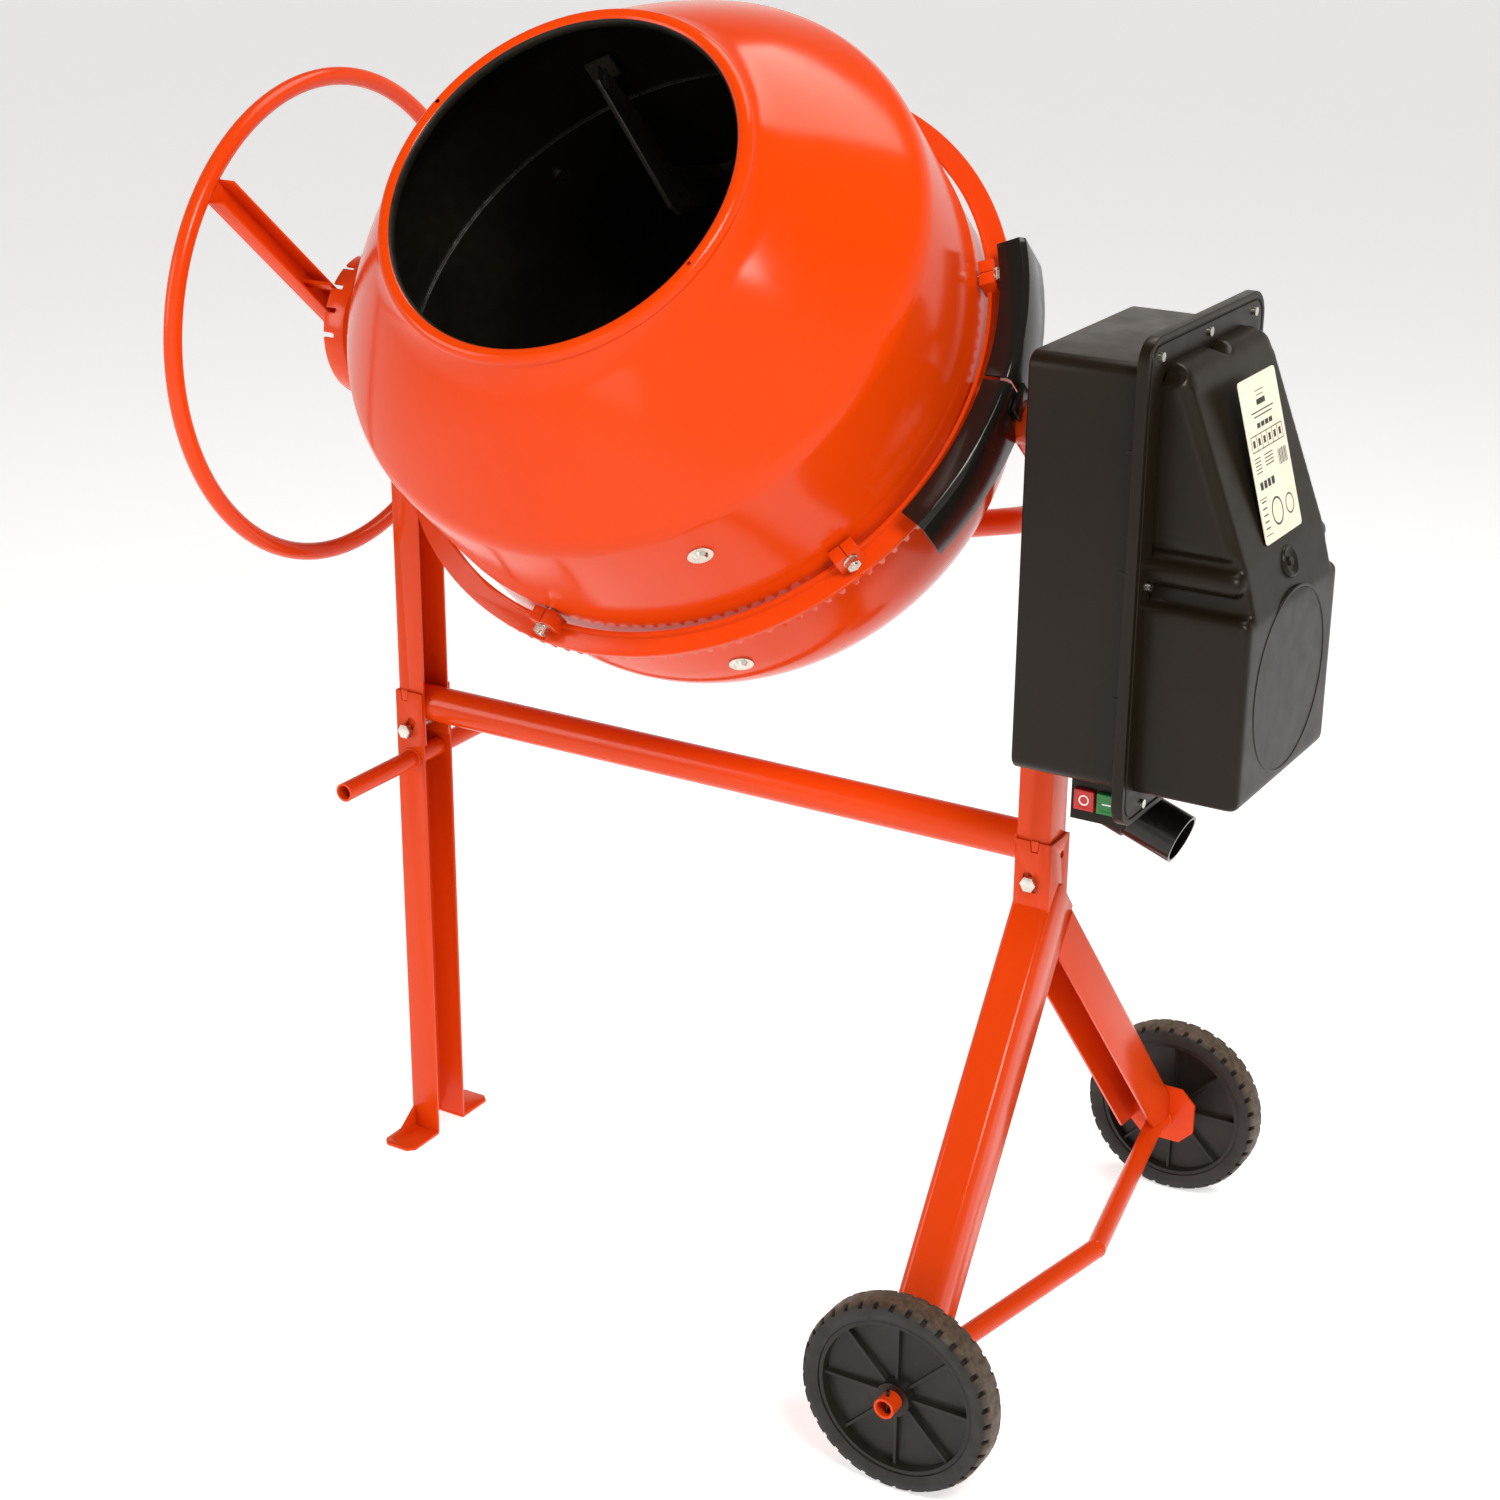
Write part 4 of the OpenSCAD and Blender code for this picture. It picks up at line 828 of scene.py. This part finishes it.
CIRCLE_R = 87 * MM
circle = turned("cover_circle", [
    (CIRCLE_R - 1.3 * MM, -1 * MM), (CIRCLE_R - 1.3 * MM, 0.3 * MM),
    (CIRCLE_R - 0.5 * MM, 0.8 * MM), (CIRCLE_R + 0.5 * MM, 0.8 * MM),
    (CIRCLE_R + 1.3 * MM, 0.3 * MM), (CIRCLE_R + 1.3 * MM, -1 * MM)], 120)
face_on(circle, (FRONT_X - 0.1 * MM, cover_mid_y, motor_h), (1, 0, 0))
settle(circle, "frame", "housing_plastic", housing_black)
rise = bend_mid - bend_low
seat_place = bend_low.lerp(bend_mid, 0.62)
seat_place.y = cover_mid_y
seat = turned("bolt_seat", [
    (0.1 * MM, -6 * MM), (0.1 * MM, 2.0 * MM), (3.6 * MM, 2.0 * MM),
    (4.2 * MM, 1.4 * MM), (4.4 * MM, -0.6 * MM), (9 * MM, -0.8 * MM),
    (12.2 * MM, 1.4 * MM), (13.4 * MM, 1.6 * MM), (14.6 * MM, 0.8 * MM),
    (15.6 * MM, -1.2 * MM), (15.6 * MM, -6 * MM)], 48)
face_on(seat, seat_place, (rise.z, 0, -rise.x))
settle(seat, "frame", "housing_plastic", housing_black)
print("circle and bolt seat added")

# %% [markdown]
# ## Rating label
# The label is a thin plastic film with rounded corners on the sloping face.
# Its print is generic: bars in place of text lines, a grid, a row of stripes
# and two empty rings. The bars are slivers a tenth of a millimetre proud, so
# the print stays sharp at any distance and needs no image.

# %% Label film and print
LABEL_W, LABEL_H, LABEL_T = 88 * MM, 148 * MM, 0.8 * MM
slope = (bend_top - bend_mid).normalized()
outward = Vector((slope.z, 0, -slope.x))
label_frame = Matrix.Translation(middle("rating_plate")) @ Matrix((
    (0, slope.x, outward.x), (1, slope.y, outward.y), (0, slope.z, outward.z))).to_4x4()
film = block("rating_label", (-LABEL_W / 2, -LABEL_H / 2, -LABEL_T / 2),
             (LABEL_W / 2, LABEL_H / 2, LABEL_T / 2))
pick(film, "EDGE", lambda centre, run: abs(run.z) > 0.9 * run.length)
rounded(4 * MM, 5)
deselect()
film.matrix_world = label_frame
settle(film, "frame", "label", label_cream, stands_for=["rating_plate"])


def bar(x, y, width, height):
    """A printed bar on the label, in millimetres from the label's centre."""
    return block("bar", ((x - width / 2) * MM, (y - height / 2) * MM, LABEL_T / 2),
                 ((x + width / 2) * MM, (y + height / 2) * MM, LABEL_T / 2 + 0.1 * MM))


bars = [bar(0, 60, 20, 0.7), bar(0, 56, 16, 0.7), bar(0, 50, 20, 5)]
bars += [bar(0, 42 - 4 * k, 52 - 10 * k, 1.1) for k in range(2)]
bars += [bar(-14 + 9.5 * k, 30, 7.5, 4.4) for k in range(4)]
bars += [bar(0, 23 - 14 * k, 74, 0.8) for k in range(2)]
bars += [bar(-37 + 74 / 6 * k, 16, 0.8, 14) for k in range(7)]
bars += [bar(-31 + 74 / 6 * k, 16, 5, 6.5) for k in range(6)]
bars += [bar(-30, 3 - 3.2 * k, 14, 0.9) for k in range(5)]
bars += [bar(-4, 3 - 3.2 * k, 20, 0.9) for k in range(4)]
bars += [bar(18 + 3.1 * k, -6, 1.0 + 0.8 * (k % 2), 14) for k in range(7)]
bars += [bar(-31 + 9 * k, -22, 6.5, 7) for k in range(4)]
bars += [bar(-33, -36 - 6 * k, 10, 1.2) for k in range(5)]
bars += [bar(-33, -33 - 33 * k, 16, 0.7) for k in range(2)]
for ring_x, ring_r in ((-6, 13), (24, 9.5)):
    deselect()
    bpy.ops.mesh.primitive_circle_add(vertices=48, radius=ring_r * MM,
                                      location=(ring_x * MM, -50 * MM, LABEL_T / 2))
    ring = bpy.context.object
    bpy.ops.object.mode_set(mode="EDIT")
    bpy.ops.mesh.extrude_edges_move()
    bpy.ops.transform.resize(value=(0.86, 0.86, 1),
                             center_override=(ring_x * MM, -50 * MM, 0))
    deselect()
    apply_modifier(ring, "SOLIDIFY", thickness=0.1 * MM, offset=1)
    bars.append(ring)
label_print = joined("label_print", bars)
label_print.matrix_world = label_frame
settle(label_print, "frame", "label", print_black)
print("label printed with", len(bars), "marks")

# %% [markdown]
# ## Push buttons
# The buttons are domed caps: a block with rounded edges whose face is inset
# and pushed in a little. The stop button carries a white ring, the start
# button a white bar, as the common signs are.


# %% Button caps and marks
def cap(name, body, slot, colour):
    """A push button's cap over its CAD block."""
    low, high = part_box(name)
    piece = block(name + "_cap", low, high)
    pick(piece, "FACE", lambda centre, normal: normal.y < -0.9)
    bpy.ops.mesh.inset(thickness=2.6 * MM, depth=0)
    bpy.ops.mesh.inset(thickness=1.0 * MM, depth=-0.7 * MM)
    deselect()
    apply_modifier(piece, "BEVEL", width=1.0 * MM, segments=3,
                   limit_method="ANGLE", angle_limit=math.radians(30),
                   use_clamp_overlap=True)
    settle(piece, body, slot, colour, stands_for=[name])
    return Vector(((low.x + high.x) / 2, low.y + 0.7 * MM, (low.z + high.z) / 2))


stop_spot = cap("stop_button", "stop_button", "red_plastic", stop_red)
ring_mark = turned("stop_ring", [(3.9 * MM, -0.4 * MM), (3.9 * MM, 0.25 * MM),
                                 (5.2 * MM, 0.25 * MM), (5.2 * MM, -0.4 * MM)], 40)
face_on(ring_mark, stop_spot, (0, -1, 0))
settle(ring_mark, "stop_button", "red_plastic", mark_white)
start_spot = cap("start_button", "start_button", "green_plastic", start_green)
bar_mark = block("start_bar", start_spot - Vector((4.6, 0.25, 0.7)) * MM,
                 start_spot + Vector((4.6, 0.4, 0.7)) * MM)
pick(bar_mark, "EDGE", lambda centre, run: abs(run.y) > 0.9 * run.length)
rounded(0.5 * MM, 3)
settle(bar_mark, "start_button", "green_plastic", mark_white)
print("buttons capped")

# %% [markdown]
# ## Tyres and wheels
# The tyres are moulded rubber with a row of slots cut into each shoulder. The
# CAD tyre already has them, so a copy with rounded edges is enough; what it
# needs is its finish. Rolling polishes the crown and dusts it brown, while
# the slots and the walls stay black. So the brown comes in by the distance
# from the wheel's axis, which a Mapping node centres.

# %% Dusty tread
axle_spot = Vector(joints["near_wheel_spin"]["pos_m"])
WHEEL_R = axle_spot.z


def dusty(name, clean, dust, rough):
    """Rubber that turns dusty near the tread."""
    material = finish(name, clean, clean, rough, 0.1, grain=700, bump=0.4)
    tree = material.node_tree
    shader = tree.nodes["Principled BSDF"]
    place = tree.nodes.new("ShaderNodeTexCoord").outputs["Object"]
    centred = tree.nodes.new("ShaderNodeMapping")
    centred.inputs["Location"].default_value = (-axle_spot.x, 0, -axle_spot.z)
    centred.inputs["Scale"].default_value = (1, 0, 1)
    tree.links.new(place, centred.inputs["Vector"])
    reach = tree.nodes.new("ShaderNodeVectorMath")
    reach.operation = "LENGTH"
    tree.links.new(centred.outputs["Vector"], reach.inputs[0])
    worn = tree.nodes.new("ShaderNodeMapRange")
    worn.inputs["From Min"].default_value = WHEEL_R - 3.5 * MM
    worn.inputs["From Max"].default_value = WHEEL_R - 0.5 * MM
    tree.links.new(reach.outputs["Value"], worn.inputs["Value"])
    speck = tree.nodes.new("ShaderNodeTexNoise")
    speck.inputs["Scale"].default_value = 160
    speck.inputs["Detail"].default_value = 6
    tree.links.new(place, speck.inputs["Vector"])
    patchy = tree.nodes.new("ShaderNodeMapRange")
    patchy.inputs["From Min"].default_value = 0.35
    patchy.inputs["From Max"].default_value = 0.65
    patchy.inputs["To Min"].default_value = 0.35
    tree.links.new(speck.outputs["Fac"], patchy.inputs["Value"])
    amount = tree.nodes.new("ShaderNodeMath")
    amount.operation = "MULTIPLY"
    tree.links.new(worn.outputs["Result"], amount.inputs[0])
    tree.links.new(patchy.outputs["Result"], amount.inputs[1])
    blend = tree.nodes.new("ShaderNodeMix")
    blend.data_type = "RGBA"
    blend.inputs[6].default_value = (*clean, 1)
    blend.inputs[7].default_value = (*dust, 1)
    tree.links.new(amount.outputs["Value"], blend.inputs[0])
    tree.links.new(blend.outputs[2], shader.inputs["Base Color"])
    return material


tread_rubber = dusty("tread_rubber", (0.010, 0.0085, 0.007), (0.105, 0.070, 0.042), 0.6)
for name in ("near_tyre", "far_tyre"):
    softened(name, 0.6, tread_rubber, "tyre_rubber")
print("tyres finished")

# %% [markdown]
# ## Weld beads
# The frame is welded and then painted, so each bead shows as a lumpy ring of
# paint where a tube meets a plate. A thin torus is squeezed at random, with a
# fixed seed, to break its evenness.


# %% Weld beads
BEAD_THICK, BEAD_PROUD, BEAD_LUMPS = 2.0 * MM, 0.6 * MM, 0.7 * MM


def weld(name, place, facing, radius):
    """A painted weld bead round a tube."""
    deselect()
    bpy.ops.mesh.primitive_torus_add(
        major_segments=72, minor_segments=10, major_radius=radius + BEAD_PROUD,
        minor_radius=BEAD_THICK)
    piece = bpy.context.object
    piece.name = name
    bpy.ops.object.mode_set(mode="EDIT")
    bpy.ops.mesh.select_all(action="SELECT")
    bpy.ops.transform.vertex_random(offset=BEAD_LUMPS, uniform=0.3, normal=0.7, seed=7)
    bpy.ops.mesh.vertices_smooth(factor=0.5, repeat=2)
    deselect()
    face_on(piece, place, facing)
    return settle(piece, "frame", "frame_paint", frame_red, smooth=80)


bar_low, bar_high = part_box("crossbar")
bar_mid = middle("crossbar")
BAR_R = (bar_high.z - bar_low.z) / 2
weld("crossbar_weld", (bar_high.x - 0.6 * MM, bar_mid.y, bar_mid.z), (1, 0, 0), BAR_R)
handle_mid = middle("lifting_handle")
# The handle and the axle are the same tube; the leg is 52 mm wide
TUBE_R = 10.5 * MM
LEG_HALF = 26 * MM
BRACKET_T = 4 * MM
bracket_low, bracket_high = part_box("axle_brackets")
for side in (-1, 1):
    end = "near" if side < 0 else "far"
    weld("handle_weld_" + end,
         (handle_mid.x, handle_mid.y + side * LEG_HALF, handle_mid.z),
         (0, 1, 0), TUBE_R)
    face_y = bracket_low.y if side < 0 else bracket_high.y
    weld("axle_weld_" + end, (axle_spot.x, face_y - side * BRACKET_T, axle_spot.z),
         (0, 1, 0), TUBE_R)
print("weld beads laid")
